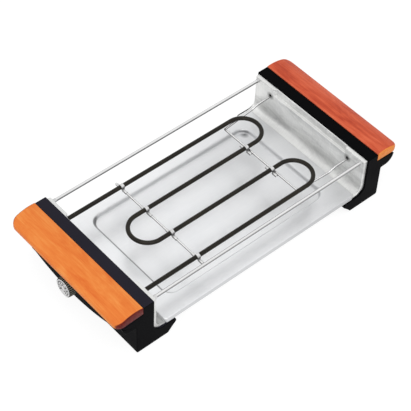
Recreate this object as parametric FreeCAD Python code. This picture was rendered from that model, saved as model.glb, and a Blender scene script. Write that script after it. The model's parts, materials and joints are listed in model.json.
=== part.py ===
import FreeCAD, Part
import math
import os

from FreeCAD import Vector

# Electric fish roaster: a bright sheet-steel channel held between two black end caps with
# wooden grips, a sheathed heater above a slide-out drip tray, and a rotary thermostat in
# the left cap. Millimetres. +Z up, +X along the length away from the knob, -Y the front.
# The origin is on the table, under the middle of the roaster.

# ---- driving dimensions: the whole roaster -------------------------------------------
LENGTH = 518.0            # over the two wooden grips
DEPTH = 235.0             # over the end caps, front to back
STRIP_TOP = 90.6          # table to the black top strips
TOUCH = 0.05              # gap between pieces of one assembly that bear on each other
SEAT_GAP = 0.3            # gap under and beside what slides or drops in

# ---- end caps --------------------------------------------------------------------------
CAP_WALL = 2.5
CAP_WIDTH = 61.6          # inner wall face to the grip's outer edge
LEG_INSET = 32.0          # leg's outer face behind the grip's outer edge
CAP_BASE = 1.5            # underside of the leg above the table
CAP_EDGE = 0.8            # rounding of the cap's long edges
LIP_SETBACK = 0.2         # top strip's inner edge behind the inner wall face
STRIP_WIDTH = 18.7        # black top strip between liner and wood
CAP_CURVE = 14.9          # radius of the inner corner, round the liner's bend
BASE_REACH = 24.9         # flat base past the inner wall face
TOE_REACH = 38.9          # toe that carries the liner, past the inner wall face
TOE_NOSE = 4.5            # rounding on top of the toe
TOE_FACE = 2.2            # upright face of the toe's tip
TOE_KNEE_IN = 5.5         # knee of the sloped toe underside, inward of the base end
TOE_KNEE_UP = 6.5         # and above the base
BULGE_BOTTOM = 57.5       # underside of the hand hold
BULGE_RADIUS = 16.0
BULGE_INSET = 8.3         # hand hold's outer face behind the grip's outer edge
SEAT_INNER_Z = 78.0       # grip seat beside the top strip

# ---- wooden grips ----------------------------------------------------------------------
GRIP_STEP_TOP = 91.8      # top of the grip beside the strip
GRIP_CROWN_TOP = 93.2     # half way across
GRIP_EDGE_TOP = 82.6      # at the outer edge, before rounding
GRIP_CORNER = 12.0        # plan radius of the outer corners
GRIP_EDGE_ROUND = 2.6
GRIP_STEP_ROUND = 0.6

# ---- liner -----------------------------------------------------------------------------
SHEET = 0.8
LINER_GAP = 5.9           # end panel's inner face in front of the cap's inner wall
LINER_FLOOR = 24.0        # top of the floor sheet
LINER_BEND = 14.5         # inside radius between panel and floor
LINER_INSET = 2.8         # liner edge behind the caps' end faces
LINER_TOP_Z = 88.2
LINER_TOP_BEND = 1.4
RETURN_STOP = 2.0         # turned-out panel edge ends this far above the floor sheet's underside
LEDGE_Z = 77.0            # rack ledge pressed into each panel
LEDGE_INSET = 39.7        # ledge's ends inside the liner's edges
LEDGE_DEPTH = 4.5

# ---- drip tray -------------------------------------------------------------------------
TRAY_SHEET = 0.6
TRAY_INSET_X = 14.0       # rim inside the end panels
TRAY_INSET_FRONT = 1.0    # rim inside the caps' front faces
TRAY_INSET_BACK = 9.0     # rim inside the caps' back faces
TRAY_RIM_Z = 31.5
TRAY_CORNER = 5.0
TRAY_EDGE_ROUND = 1.6
PAN_INSET_X = 31.5        # pan inside the rim's outer edge
PAN_INSET_Y = 29.5        # pan behind the rim's front edge, its middle on the roaster's
PAN_CORNER = 16.0
PAN_FLOOR_ROUND = 4.0

# ---- heater ----------------------------------------------------------------------------
SHEATH_R = 3.25
RUN_INSET = 35.6          # outer runs inside the caps' end faces
HEATER_Z = 68.4
TURN_INSET = 51.7         # U-turns inside the right end panel
SHEATH_TAIL = 8.6         # sheath past the left cap's inner wall face
SEAL_R = 4.0
SEAL_LENGTH = 7.0
PIN_R = 1.3
PIN_LENGTH = 20.0
BRACKET_LENGTH = 28.0
BRACKET_WIDTH = 12.0
BRACKET_THICK = 1.2
BRACKET_SCREW_PITCH = 19.0

# ---- support wires and clips -----------------------------------------------------------
WIRE_R = 1.6
SPACER_INSET = 20.2       # spacer wire inside the left U-turn's centre
SPACER_OVERHANG = 13.1    # spacer wire past the outer runs
FRAME_INSET = 18.5        # cross wire inside the right U-turns' centres
FRAME_END_Z = 71.0
FRAME_BEND = 5.0
JOGGLE_BEND = 3.0
JOGGLE_START = 26.5       # high end of the joggle from the end panel
JOGGLE_RUN = 8.0
HOOK_DROP = 6.0
WIRE_HOLE_R = 2.5
CLIP_STRIP = 0.6
CLIP_WIDTH = 5.0
CLIP_TAIL = 7.5

# ---- tie rods --------------------------------------------------------------------------
ROD_R = 2.5
ROD_INSET = 6.3           # rods inside the liner's edges
ROD_Z = 84.2
ROD_TAIL = 7.1            # rods past the caps' inner wall faces
NUT_R = 3.7
NUT_LENGTH = 4.0
COLLAR_R = 3.0
COLLAR_LENGTH = 4.0

# ---- control: boss, thermostat, knob ---------------------------------------------------
KNOB_Z = 52.0
BOSS_INSET = 12.5         # boss face behind the grip's outer edge
BOSS_END_INSET = 34.0     # boss's ends inside the cap's end faces
BOSS_SIDE_Z = 46.0
BOSS_BOTTOM_Z = 31.8
BOSS_ROUND = 3.0
NECK_R = 4.8
NECK_OUT = 3.4            # neck beyond the boss face
NUT_TURN_R = 7.5
THERMO_Y = 36.0
THERMO_Z = 26.0
THERMO_DEPTH = 16.0
SHAFT_R = 3.0
KNOB_R = 15.5
KNOB_TIP_R = 14.8
KNOB_GAP = 0.8
KNOB_POCKET_R = 16.7      # round recess cut into the hand hold behind the knob
KNOB_INSET = 0.6          # knob's face behind the grip's outer edge
KNOB_HOLLOW_R = 12.6
KNOB_HOLLOW = 6.0
KNOB_HUB_R = 6.0
KNOB_RIBS = 30
RIB_R = 0.9
DIAL_R = 13.6
DIAL_THICK = 1.0
DIAL_SINK = 0.6
TAB_Y = 8.0
TAB_WIDTH = 6.3
TAB_THICK = 0.8
TAB_LENGTH = 8.0

# ---- wiring inside the left cap --------------------------------------------------------
BLOCK_INSET = 29.9        # terminal block inside the outer run
BLOCK_Z = 30.0
BLOCK_LENGTH = 34.0
BLOCK_DEPTH = 12.0
BLOCK_HEIGHT = 14.0
BLOCK_PITCH = 9.0
LEAD_R = 1.4
LEAD_LANE = 5.0           # leads behind the terminal block's middle
LEAD_BEND = 4.5
LEAD_BEND_WIDE = 5.0
LEAD_SAG = 3.4            # heater leads below the sheath before they turn up
LEAD_LOOP = 11.0          # heater leads past the ends of the pins
LEAD_SIDE = 12.0          # and inside them
LEAD_RISE = 8.0           # rise of a lead's sloping run
BLOCK_SINK = 4.0          # leads sink this far into the terminal block
EARTH_DROP = 20.0         # earth lead turns towards the lug this far below its screw
EARTH_CROSS = 8.0         # rise of its sloping run
EARTH_GAP = 3.0           # its end below the screw's head
LUG_THICK = 1.0
LUG_R = 4.1
LUG_STEM = 8.0            # lug's stem past the screw's head
FUSE_R = 2.5
FUSE_LENGTH = 14.0
EARTH_SIDE = 10.0         # earth screw beside the terminal block's middle
EARTH_Z = 60.0
GROMMET_INSET = 31.5      # bush inside the cap's back end face
GROMMET_Z = 26.0
GROMMET_BORE_R = 3.75
GROMMET_NECK_R = 6.0
GROMMET_FLANGE_R = 8.5
GROMMET_FLANGE = 2.0

# ---- base covers, screws and feet ------------------------------------------------------
COVER_THICK = 2.5
POST_R = 4.0
POST_BEHIND = 9.6         # screw posts behind the inner wall face
POST_INSET = 18.5         # outer posts inside the cap's end faces
SCREW_R = 1.5
SCREW_HEAD_R = 2.9
SCREW_HEAD = 2.0
SCREW_LENGTH = 12.0
FOOT_R = 7.0
FOOT_SINK = 1.0
FOOT_INSET = 37.5         # feet inside the cap's end faces
FOOT_AHEAD = 5.4          # feet in front of the inner wall face
GRIP_SCREW_BEHIND = 3.2   # grip screws behind the grip's inner edge
GRIP_SCREW_INSET = 55.5   # and inside its ends
GRIP_SCREW_BITE = 9.0

# ---- worked out from the above ---------------------------------------------------------
HALF_LENGTH = LENGTH / 2
HALF_DEPTH = DEPTH / 2
CAP_INNER = HALF_LENGTH - CAP_WIDTH
CAP_OUTER = HALF_LENGTH - LEG_INSET
FOOT_INNER = CAP_INNER - BASE_REACH
FOOT_TIP = CAP_INNER - TOE_REACH
STRIP_OUTER = CAP_INNER + LIP_SETBACK + STRIP_WIDTH
BULGE_OUTER = HALF_LENGTH - BULGE_INSET
SEAT_OUTER_Z = BULGE_BOTTOM + BULGE_RADIUS
LINER_FACE = CAP_INNER - LINER_GAP
LINER_UNDER = LINER_FLOOR - SHEET
LINER_HALF_Y = HALF_DEPTH - LINER_INSET
BEND_CENTRE = LINER_FACE - LINER_BEND
CURVE_CENTRE = CAP_INNER - CAP_CURVE
LEDGE_FACE = LINER_FACE + LEDGE_DEPTH
LEDGE_HALF = LINER_HALF_Y - LEDGE_INSET
TRAY_HALF_X = LINER_FACE - TRAY_INSET_X
TRAY_FRONT = HALF_DEPTH - TRAY_INSET_FRONT
TRAY_HALF_Y = HALF_DEPTH - (TRAY_INSET_FRONT + TRAY_INSET_BACK) / 2
TRAY_MIDDLE_Y = TRAY_HALF_Y - TRAY_FRONT
PAN_HALF_X = TRAY_HALF_X - PAN_INSET_X
PAN_HALF_Y = TRAY_FRONT - PAN_INSET_Y
OUTER_RUN = HALF_DEPTH - RUN_INSET
RUN_PITCH = OUTER_RUN / 1.5
RUN_YS = [RUN_PITCH * k for k in (1.5, 0.5, -0.5, -1.5)]
HEATER_BEND_X = LINER_FACE - TURN_INSET - RUN_PITCH / 2
SHEATH_END = CAP_INNER + SHEATH_TAIL
PIN_END = SHEATH_END + PIN_LENGTH
WIRE_Z = HEATER_Z - SHEATH_R - WIRE_R - TOUCH
SPACER_X = SPACER_INSET - HEATER_BEND_X
SPACER_HALF = OUTER_RUN + SPACER_OVERHANG
FRAME_X = HEATER_BEND_X - FRAME_INSET
JOGGLE_HIGH_X = LINER_FACE - JOGGLE_START
JOGGLE_LOW_X = JOGGLE_HIGH_X - JOGGLE_RUN
ROD_Y = LINER_HALF_Y - ROD_INSET
ROD_END = CAP_INNER + ROD_TAIL
BOSS_FACE = HALF_LENGTH - BOSS_INSET
BOSS_HALF = HALF_DEPTH - BOSS_END_INSET
KNOB_FACE = HALF_LENGTH - KNOB_INSET
BLOCK_Y = OUTER_RUN - BLOCK_INSET
EARTH_Y = BLOCK_Y + EARTH_SIDE
GROMMET_Y = HALF_DEPTH - GROMMET_INSET
POST_X = CAP_INNER + POST_BEHIND
POST_Y = HALF_DEPTH - POST_INSET
FOOT_X = CAP_INNER - FOOT_AHEAD
FOOT_Y = HALF_DEPTH - FOOT_INSET
GRIP_SCREW_X = STRIP_OUTER + GRIP_SCREW_BEHIND
GRIP_SCREW_Y = HALF_DEPTH - GRIP_SCREW_INSET


def box(x0, x1, y0, y1, z0, z1):
    """A block between two corners."""
    return Part.makeBox(x1 - x0, y1 - y0, z1 - z0, Vector(x0, y0, z0))


def rod(radius, start, direction, length):
    """A round bar from a point along a direction."""
    return Part.makeCylinder(radius, length, Vector(*start), Vector(*direction))


def line(a, b):
    return Part.LineSegment(a, b).toShape()


def arc(a, centre, b):
    """A round edge from a to b about centre, the short way round."""
    way = (a - centre) + (b - centre)
    way.normalize()
    return Part.Arc(a, centre + way * (a - centre).Length, b).toShape()


def at(x, z):
    """A point of a profile that is drawn in the X-Z plane and pushed along Y."""
    return Vector(x, 0, z)


def push(edges, y0, y1):
    """Extrude a closed X-Z profile from y0 to y1."""
    face = Part.Face(Part.Wire(edges))
    face.translate(Vector(0, y0, 0))
    return face.extrude(Vector(0, y1 - y0, 0))


def mirrored(shape):
    """The same piece at the other end of the roaster."""
    return shape.mirror(Vector(0, 0, 0), Vector(1, 0, 0))


def both_ends(shape):
    return [shape, mirrored(shape)]


def bent_bar(points, radius, bends):
    """A round bar along straight runs joined by tangent arcs of the given bend radii."""
    pts = [Vector(*p) for p in points]
    edges = []
    start = pts[0]
    for i in range(1, len(pts) - 1):
        back = (pts[i - 1] - pts[i]).normalize()
        ahead = (pts[i + 1] - pts[i]).normalize()
        turn = math.pi - back.getAngle(ahead)
        trim = bends[i - 1] * math.tan(turn / 2)
        leave = pts[i] + back * trim
        resume = pts[i] + ahead * trim
        inward = (back + ahead).normalize()
        middle = pts[i] + inward * (bends[i - 1] / math.cos(turn / 2) - bends[i - 1])
        edges.append(line(start, leave))
        edges.append(Part.Arc(leave, middle, resume).toShape())
        start = resume
    edges.append(line(start, pts[-1]))
    path = Part.Wire(edges)
    ring = Part.Wire(Part.makeCircle(radius, pts[0], pts[1] - pts[0]))
    return path.makePipeShell([ring], True, True)


def save(name, shapes):
    """Write one sub-part; a list is a group of separate solids."""
    group = shapes if isinstance(shapes, list) else [shapes]
    shape = group[0] if len(group) == 1 else Part.makeCompound(group)
    solids = shape.Solids
    bad = [s for s in solids if not s.isValid() or s.Volume <= 0]
    shape.exportStep("parts/" + name + ".step")
    low = shape.BoundBox
    print("%-24s solids %2d bad %d  X %.1f..%.1f Y %.1f..%.1f Z %.1f..%.1f" % (
        name, len(solids), len(bad), low.XMin, low.XMax, low.YMin, low.YMax, low.ZMin, low.ZMax))


# ---- end caps --------------------------------------------------------------------------
def cap_edges():
    """Outline of the right cap: leg, hand hold, grip seat, top strip, inner wall and toe."""
    top = STRIP_TOP
    lip = CAP_INNER + LIP_SETBACK
    lip_under = LINER_TOP_Z + TOUCH
    corner_z = LINER_UNDER + CAP_CURVE
    toe_low = LINER_UNDER - TOE_NOSE - TOE_FACE
    spots = [
        at(FOOT_INNER, CAP_BASE), at(CAP_OUTER, CAP_BASE), at(CAP_OUTER, BULGE_BOTTOM),
        at(BULGE_OUTER - BULGE_RADIUS, BULGE_BOTTOM), at(BULGE_OUTER, SEAT_OUTER_Z),
        at(STRIP_OUTER, SEAT_INNER_Z), at(STRIP_OUTER, top), at(lip + CAP_EDGE, top),
        at(lip, top - CAP_EDGE), at(lip, lip_under), at(CAP_INNER, lip_under),
        at(CAP_INNER, corner_z), at(CURVE_CENTRE, LINER_UNDER),
        at(FOOT_TIP + TOE_NOSE, LINER_UNDER), at(FOOT_TIP, LINER_UNDER - TOE_NOSE),
        at(FOOT_TIP, toe_low), at(FOOT_INNER - TOE_KNEE_IN, CAP_BASE + TOE_KNEE_UP),
    ]
    rounds = {
        3: at(BULGE_OUTER - BULGE_RADIUS, SEAT_OUTER_Z),
        7: at(lip + CAP_EDGE, top - CAP_EDGE),
        11: at(CURVE_CENTRE, corner_z),
        13: at(FOOT_TIP + TOE_NOSE, LINER_UNDER - TOE_NOSE),
    }
    edges = []
    for i, spot in enumerate(spots):
        after = spots[(i + 1) % len(spots)]
        if i in rounds:
            edges.append(arc(spot, rounds[i], after))
        else:
            edges.append(line(spot, after))
    return edges


def boss_body(inset):
    """The control boss below the left hand hold, its lower edge an arc; inset for its inside."""
    half = BOSS_HALF - inset
    side = BOSS_SIDE_Z + inset
    low = BOSS_BOTTOM_Z + inset
    top = SEAT_OUTER_Z - inset
    root = CAP_OUTER - 2 * CAP_WALL
    face_x = BOSS_FACE - inset
    a = Vector(root, -half, side)
    b = Vector(root, half, side)
    c = Vector(root, half, top)
    d = Vector(root, -half, top)
    under = Part.Arc(a, Vector(root, 0, low), b).toShape()
    face = Part.Face(Part.Wire([under, line(b, c), line(c, d), line(d, a)]))
    body = face.extrude(Vector(face_x - root, 0, 0))
    rim = []
    for edge in body.Edges:
        mid = edge.BoundBox.Center
        on_face = abs(edge.BoundBox.XMin - face_x) < 0.01
        if on_face and mid.z < top - 1.0:
            rim.append(edge)
    return body.makeFillet(BOSS_ROUND - inset, rim)


def cap_shell(control):
    """One end cap, a shell that is open underneath; the control one has the knob's boss."""
    outline = Part.Face(Part.Wire(cap_edges()))
    outline.translate(Vector(0, -HALF_DEPTH, 0))
    shell = outline.extrude(Vector(0, DEPTH, 0))
    hollow_face = outline.makeOffset2D(-CAP_WALL)
    hollow_face.translate(Vector(0, CAP_WALL, 0))
    hollow = hollow_face.extrude(Vector(0, DEPTH - 2 * CAP_WALL, 0))
    if control:
        shell = shell.fuse(boss_body(0))
        hollow = hollow.fuse(boss_body(CAP_WALL))
        hollow = hollow.cut(rod(KNOB_POCKET_R + CAP_WALL, (BOSS_FACE - CAP_WALL, 0, KNOB_Z),
                                (1, 0, 0), KNOB_R))
        shell = shell.cut(rod(KNOB_POCKET_R, (BOSS_FACE, 0, KNOB_Z), (1, 0, 0), KNOB_R))
    mouth = box(FOOT_INNER + CAP_WALL, CAP_OUTER - CAP_WALL, CAP_WALL - HALF_DEPTH,
                HALF_DEPTH - CAP_WALL, CAP_BASE - 1, CAP_BASE + COVER_THICK + 1)
    shell = shell.cut(hollow.fuse(mouth))
    for y in (-POST_Y, 0, POST_Y):
        foot_z = CAP_BASE + COVER_THICK
        post = rod(POST_R, (POST_X, y, foot_z), (0, 0, 1), STRIP_TOP - CAP_WALL / 2 - foot_z)
        bore = rod(SCREW_R, (POST_X, y, foot_z), (0, 0, 1), SCREW_LENGTH + 1)
        shell = shell.fuse(post).cut(bore)
    slot_y = LINER_HALF_Y + TOUCH
    slot = box(CAP_INNER - 1, flange_end() + SEAT_GAP, -slot_y, slot_y,
               LINER_TOP_Z - SHEET - TOUCH, LINER_TOP_Z + TOUCH)
    shell = shell.cut(slot)
    for y in (-ROD_Y, ROD_Y):
        shell = shell.cut(rod(ROD_R + TOUCH, (CAP_INNER - 1, y, ROD_Z), (1, 0, 0), CAP_WALL + 2))
    for y in (-GRIP_SCREW_Y, GRIP_SCREW_Y):
        shell = shell.cut(rod(SCREW_R + TOUCH, (GRIP_SCREW_X, y, SEAT_OUTER_Z - CAP_WALL),
                              (0, 0, 1), SEAT_INNER_Z - SEAT_OUTER_Z + 2 * CAP_WALL))
    if control:
        for y in (-OUTER_RUN, OUTER_RUN):
            shell = shell.cut(rod(SHEATH_R + TOUCH, (CAP_INNER - 1, y, HEATER_Z), (1, 0, 0),
                                  CAP_WALL + 2))
            for side in (-1, 1):
                shell = shell.cut(rod(SCREW_R, (CAP_INNER, y + side * BRACKET_SCREW_PITCH / 2,
                                                HEATER_Z), (1, 0, 0), CAP_WALL + 1))
        shell = shell.cut(rod(SCREW_R + TOUCH, (CAP_INNER - 1, EARTH_Y, EARTH_Z), (1, 0, 0),
                              CAP_WALL + 2))
        shell = shell.cut(rod(NECK_R + TOUCH, (BOSS_FACE - 2 * CAP_WALL, 0, KNOB_Z), (1, 0, 0),
                              3 * CAP_WALL))
        shell = shell.cut(rod(GROMMET_NECK_R + TOUCH, (CAP_OUTER - 2 * CAP_WALL, GROMMET_Y,
                                                       GROMMET_Z), (1, 0, 0), 3 * CAP_WALL))
    return shell


def base_cover():
    """The plate that closes the underside of a cap, with its screw and foot recesses."""
    cover = box(FOOT_INNER + CAP_WALL + SEAT_GAP, CAP_OUTER - CAP_WALL - SEAT_GAP,
                CAP_WALL + SEAT_GAP - HALF_DEPTH, HALF_DEPTH - CAP_WALL - SEAT_GAP,
                CAP_BASE, CAP_BASE + COVER_THICK - TOUCH)
    for y in (-POST_Y, 0, POST_Y):
        cover = cover.cut(rod(SCREW_R + TOUCH, (POST_X, y, 0), (0, 0, 1), 3 * COVER_THICK))
        cover = cover.cut(rod(SCREW_HEAD_R + SEAT_GAP, (POST_X, y, 0), (0, 0, 1),
                              CAP_BASE + SCREW_HEAD / 2))
    for y in (-FOOT_Y, FOOT_Y):
        cover = cover.cut(rod(FOOT_R + TOUCH, (FOOT_X, y, 0), (0, 0, 1), CAP_BASE + FOOT_SINK))
    return cover


def base_screws():
    """Cover screws: a low round head in the recess and a shank up into the post."""
    screws = []
    for y in (-POST_Y, 0, POST_Y):
        head_top = CAP_BASE + SCREW_HEAD / 2 - TOUCH
        head = rod(SCREW_HEAD_R, (POST_X, y, head_top - SCREW_HEAD / 2), (0, 0, 1), SCREW_HEAD / 2)
        shank = rod(SCREW_R - TOUCH, (POST_X, y, head_top), (0, 0, 1), SCREW_LENGTH)
        screws.append(head.fuse(shank))
    return screws


def rubber_feet():
    feet = []
    for y in (-FOOT_Y, FOOT_Y):
        height = CAP_BASE + FOOT_SINK - TOUCH
        pad = rod(FOOT_R, (FOOT_X, y, 0), (0, 0, 1), height)
        feet.append(pad.makeFillet(0.5, [pad.Edges[2]]))
    return feet


# ---- wooden grips ----------------------------------------------------------------------
def grip():
    """The wooden grip: a crowned slab that thins outward, with rounded corners and edges."""
    seat_slope = (SEAT_INNER_Z - SEAT_OUTER_Z) / (BULGE_OUTER - STRIP_OUTER)
    inner = STRIP_OUTER + TOUCH
    under_inner = SEAT_INNER_Z + TOUCH
    under_outer = under_inner - seat_slope * (HALF_LENGTH - STRIP_OUTER)
    low_in = at(inner, under_inner)
    low_out = at(HALF_LENGTH, under_outer)
    high_out = at(HALF_LENGTH, GRIP_EDGE_TOP)
    high_in = at(inner, GRIP_STEP_TOP)
    crown = at((inner + HALF_LENGTH) / 2, GRIP_CROWN_TOP)
    edges = [line(low_in, low_out), line(low_out, high_out),
             Part.Arc(high_out, crown, high_in).toShape(), line(high_in, low_in)]
    slab = push(edges, -HALF_DEPTH, HALF_DEPTH)
    corners = []
    for edge in slab.Edges:
        span = edge.BoundBox
        upright = span.ZLength > 1 and span.XLength < 0.01
        if upright and span.XMin > HALF_LENGTH - 1:
            corners.append(edge)
    slab = slab.makeFillet(GRIP_CORNER, corners)
    rims = []
    for edge in slab.Edges:
        span = edge.BoundBox
        upright = span.XLength < 0.01 and span.YLength < 0.01
        at_step = span.XMax < inner + 0.01
        if not upright and not at_step:
            rims.append(edge)
    slab = slab.makeFillet(GRIP_EDGE_ROUND, rims)
    step = []
    for edge in slab.Edges:
        span = edge.BoundBox
        if span.XMax < inner + 0.01 and span.ZMin > GRIP_STEP_TOP - GRIP_EDGE_ROUND:
            if span.YLength > DEPTH / 2:
                step.append(edge)
    slab = slab.makeFillet(GRIP_STEP_ROUND, step)
    for y in (-GRIP_SCREW_Y, GRIP_SCREW_Y):
        slab = slab.cut(rod(SCREW_R - TOUCH, (GRIP_SCREW_X, y, SEAT_OUTER_Z), (0, 0, 1),
                            SEAT_INNER_Z - SEAT_OUTER_Z + GRIP_SCREW_BITE))
    return slab


def seat_under_z(x):
    """Height of the grip seat's underside, inside the cap."""
    share = (x - STRIP_OUTER) / (BULGE_OUTER - STRIP_OUTER)
    slope = math.atan2(SEAT_INNER_Z - SEAT_OUTER_Z, BULGE_OUTER - STRIP_OUTER)
    seat = SEAT_INNER_Z + share * (SEAT_OUTER_Z - SEAT_INNER_Z)
    return seat - CAP_WALL / math.cos(slope)


def grip_screws():
    screws = []
    for y in (-GRIP_SCREW_Y, GRIP_SCREW_Y):
        under = seat_under_z(GRIP_SCREW_X + SCREW_HEAD_R) - TOUCH
        head = rod(SCREW_HEAD_R, (GRIP_SCREW_X, y, under - SCREW_HEAD), (0, 0, 1), SCREW_HEAD)
        tip = SEAT_INNER_Z + GRIP_SCREW_BITE - 1
        shank = rod(SCREW_R - 2 * TOUCH, (GRIP_SCREW_X, y, under), (0, 0, 1), tip - under)
        screws.append(head.fuse(shank))
    return screws


# ---- liner -----------------------------------------------------------------------------
def flange_end():
    """How far the liner's top flange reaches into the groove under the black strip."""
    return CAP_INNER + CAP_WALL / 2


def inside_path(ledge):
    """Inner face of the liner's half profile, from mid floor to the end of the top flange."""
    face = LEDGE_FACE if ledge else LINER_FACE
    bend_z = LINER_FLOOR + LINER_BEND
    turn_z = LINER_TOP_Z - LINER_TOP_BEND
    turn_x = face + LINER_TOP_BEND
    edges = [
        line(at(0, LINER_FLOOR), at(BEND_CENTRE, LINER_FLOOR)),
        arc(at(BEND_CENTRE, LINER_FLOOR), at(BEND_CENTRE, bend_z), at(LINER_FACE, bend_z)),
    ]
    if ledge:
        edges.append(line(at(LINER_FACE, bend_z), at(LINER_FACE, LEDGE_Z)))
        edges.append(line(at(LINER_FACE, LEDGE_Z), at(face, LEDGE_Z)))
        edges.append(line(at(face, LEDGE_Z), at(face, turn_z)))
    else:
        edges.append(line(at(LINER_FACE, bend_z), at(face, turn_z)))
    edges.append(arc(at(face, turn_z), at(turn_x, turn_z), at(turn_x, LINER_TOP_Z)))
    edges.append(line(at(turn_x, LINER_TOP_Z), at(flange_end(), LINER_TOP_Z)))
    return edges


def outside_path(face, drop_z):
    """Outer face of the half profile; above drop_z the sheet lies behind face."""
    bend_z = LINER_FLOOR + LINER_BEND
    turn_z = LINER_TOP_Z - LINER_TOP_BEND
    turn_x = face + LINER_TOP_BEND
    under = LINER_TOP_Z - SHEET
    back = face + SHEET
    low_back = LINER_FACE + SHEET
    edges = [
        line(at(flange_end(), LINER_TOP_Z), at(flange_end(), under)),
        line(at(flange_end(), under), at(turn_x, under)),
        arc(at(turn_x, under), at(turn_x, turn_z), at(back, turn_z)),
    ]
    if face > LINER_FACE:
        edges.append(line(at(back, turn_z), at(back, drop_z)))
        edges.append(line(at(back, drop_z), at(low_back, drop_z)))
        edges.append(line(at(low_back, drop_z), at(low_back, bend_z)))
    else:
        edges.append(line(at(back, turn_z), at(low_back, bend_z)))
    edges.append(arc(at(low_back, bend_z), at(BEND_CENTRE, bend_z),
                     at(BEND_CENTRE, LINER_UNDER)))
    edges.append(line(at(BEND_CENTRE, LINER_UNDER), at(0, LINER_UNDER)))
    edges.append(line(at(0, LINER_UNDER), at(0, LINER_FLOOR)))
    return edges


def return_path():
    """Outer face where the panel's front or back edge is turned out towards the cap."""
    reach = CAP_INNER - SEAT_GAP
    sweep = reach - CURVE_CENTRE
    corner_z = LINER_UNDER + sweep
    bend = LINER_BEND + SHEET
    bend_z = LINER_UNDER + bend
    under = LINER_TOP_Z - SHEET
    stop_z = LINER_UNDER + RETURN_STOP
    stop_out = CURVE_CENTRE + math.sqrt(sweep ** 2 - (corner_z - stop_z) ** 2)
    stop_in = BEND_CENTRE + math.sqrt(bend ** 2 - (bend_z - stop_z) ** 2)
    return [
        line(at(flange_end(), LINER_TOP_Z), at(flange_end(), under)),
        line(at(flange_end(), under), at(reach, under)),
        line(at(reach, under), at(reach, corner_z)),
        arc(at(reach, corner_z), at(CURVE_CENTRE, corner_z), at(stop_out, stop_z)),
        line(at(stop_out, stop_z), at(stop_in, stop_z)),
        arc(at(stop_in, stop_z), at(BEND_CENTRE, bend_z), at(BEND_CENTRE, LINER_UNDER)),
        line(at(BEND_CENTRE, LINER_UNDER), at(0, LINER_UNDER)),
        line(at(0, LINER_UNDER), at(0, LINER_FLOOR)),
    ]


def liner():
    """The bright channel: floor, two end panels with rack ledges, and their flanges."""
    ledge_under = LEDGE_Z - SHEET
    cheek = LEDGE_HALF + SHEET
    edge = LINER_HALF_Y - SHEET
    body = push(inside_path(True) + outside_path(LEDGE_FACE, ledge_under), -LEDGE_HALF, LEDGE_HALF)
    for side in (-1, 1):
        for near, far, outer in (
                (LEDGE_HALF, cheek, outside_path(LEDGE_FACE, ledge_under)),
                (cheek, edge, outside_path(LINER_FACE, 0)),
                (edge, LINER_HALF_Y, return_path())):
            low, high = sorted((side * near, side * far))
            body = body.fuse(push(inside_path(False) + outer, low, high))
        body = body.cut(rod(ROD_R + TOUCH, (LINER_FACE - 1, side * ROD_Y, ROD_Z), (1, 0, 0),
                            CAP_INNER - LINER_FACE))
    other = mirrored(body)
    for side in (-1, 1):
        hole_z = FRAME_END_Z + WIRE_HOLE_R - WIRE_R - TOUCH
        body = body.cut(rod(WIRE_HOLE_R, (LINER_FACE - 1, side * OUTER_RUN, hole_z), (1, 0, 0),
                            SHEET + 2))
        other = other.cut(rod(SHEATH_R + TOUCH, (-LINER_FACE + 1, side * OUTER_RUN, HEATER_Z),
                              (-1, 0, 0), SHEET + 2))
    other = other.cut(rod(SCREW_R, (-LINER_FACE + 1, EARTH_Y, EARTH_Z), (-1, 0, 0), SHEET + 2))
    return body.fuse(other)


# ---- drip tray -------------------------------------------------------------------------
def rounded_block(half_x, half_y, z0, z1, corner):
    block = box(-half_x, half_x, -half_y, half_y, z0, z1)
    uprights = [e for e in block.Edges if e.BoundBox.ZLength > 0.5 * (z1 - z0)]
    return block.makeFillet(corner, uprights)


def level_edges(shape, z, inside_x):
    """Edges that lie level at a height, within inside_x of the middle plane."""
    found = []
    for edge in shape.Edges:
        span = edge.BoundBox
        if abs(span.ZMin - z) < 0.01 and abs(span.ZMax - z) < 0.01 and span.XMax < inside_x:
            found.append(edge)
    return found


def tray_form(inset):
    """The tray's outside; inset by the sheet it is the space under the tray's skin."""
    top = TRAY_RIM_Z - inset
    under = LINER_FLOOR + SEAT_GAP
    low = under - inset
    form = rounded_block(TRAY_HALF_X - inset, TRAY_HALF_Y - inset, low, top,
                         TRAY_CORNER - inset)
    form.translate(Vector(0, TRAY_MIDDLE_Y, 0))
    form = form.makeFillet(TRAY_EDGE_ROUND - inset, level_edges(form, top, TRAY_HALF_X + 1))
    pan_floor = under + TRAY_SHEET - inset
    if inset > 0:
        pan_floor = low - 1
    pan = rounded_block(PAN_HALF_X + inset, PAN_HALF_Y + inset, pan_floor, top + 1,
                        PAN_CORNER + inset)
    if inset == 0:
        pan = pan.makeFillet(PAN_FLOOR_ROUND, level_edges(pan, pan_floor, PAN_HALF_X + 1))
    form = form.cut(pan)
    return form.makeFillet(TRAY_EDGE_ROUND + inset, level_edges(form, top, PAN_HALF_X + 2))


def pan_skirt():
    """Fills the fold between the pan's wall and its floor, under the inner rounding."""
    under = LINER_FLOOR + SEAT_GAP
    outer = rounded_block(PAN_HALF_X + TRAY_SHEET, PAN_HALF_Y + TRAY_SHEET, under,
                          under + PAN_FLOOR_ROUND + TRAY_SHEET, PAN_CORNER + TRAY_SHEET)
    return outer.makeFillet(PAN_FLOOR_ROUND + TRAY_SHEET - 0.01,
                            level_edges(outer, under, PAN_HALF_X + 2))


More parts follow.
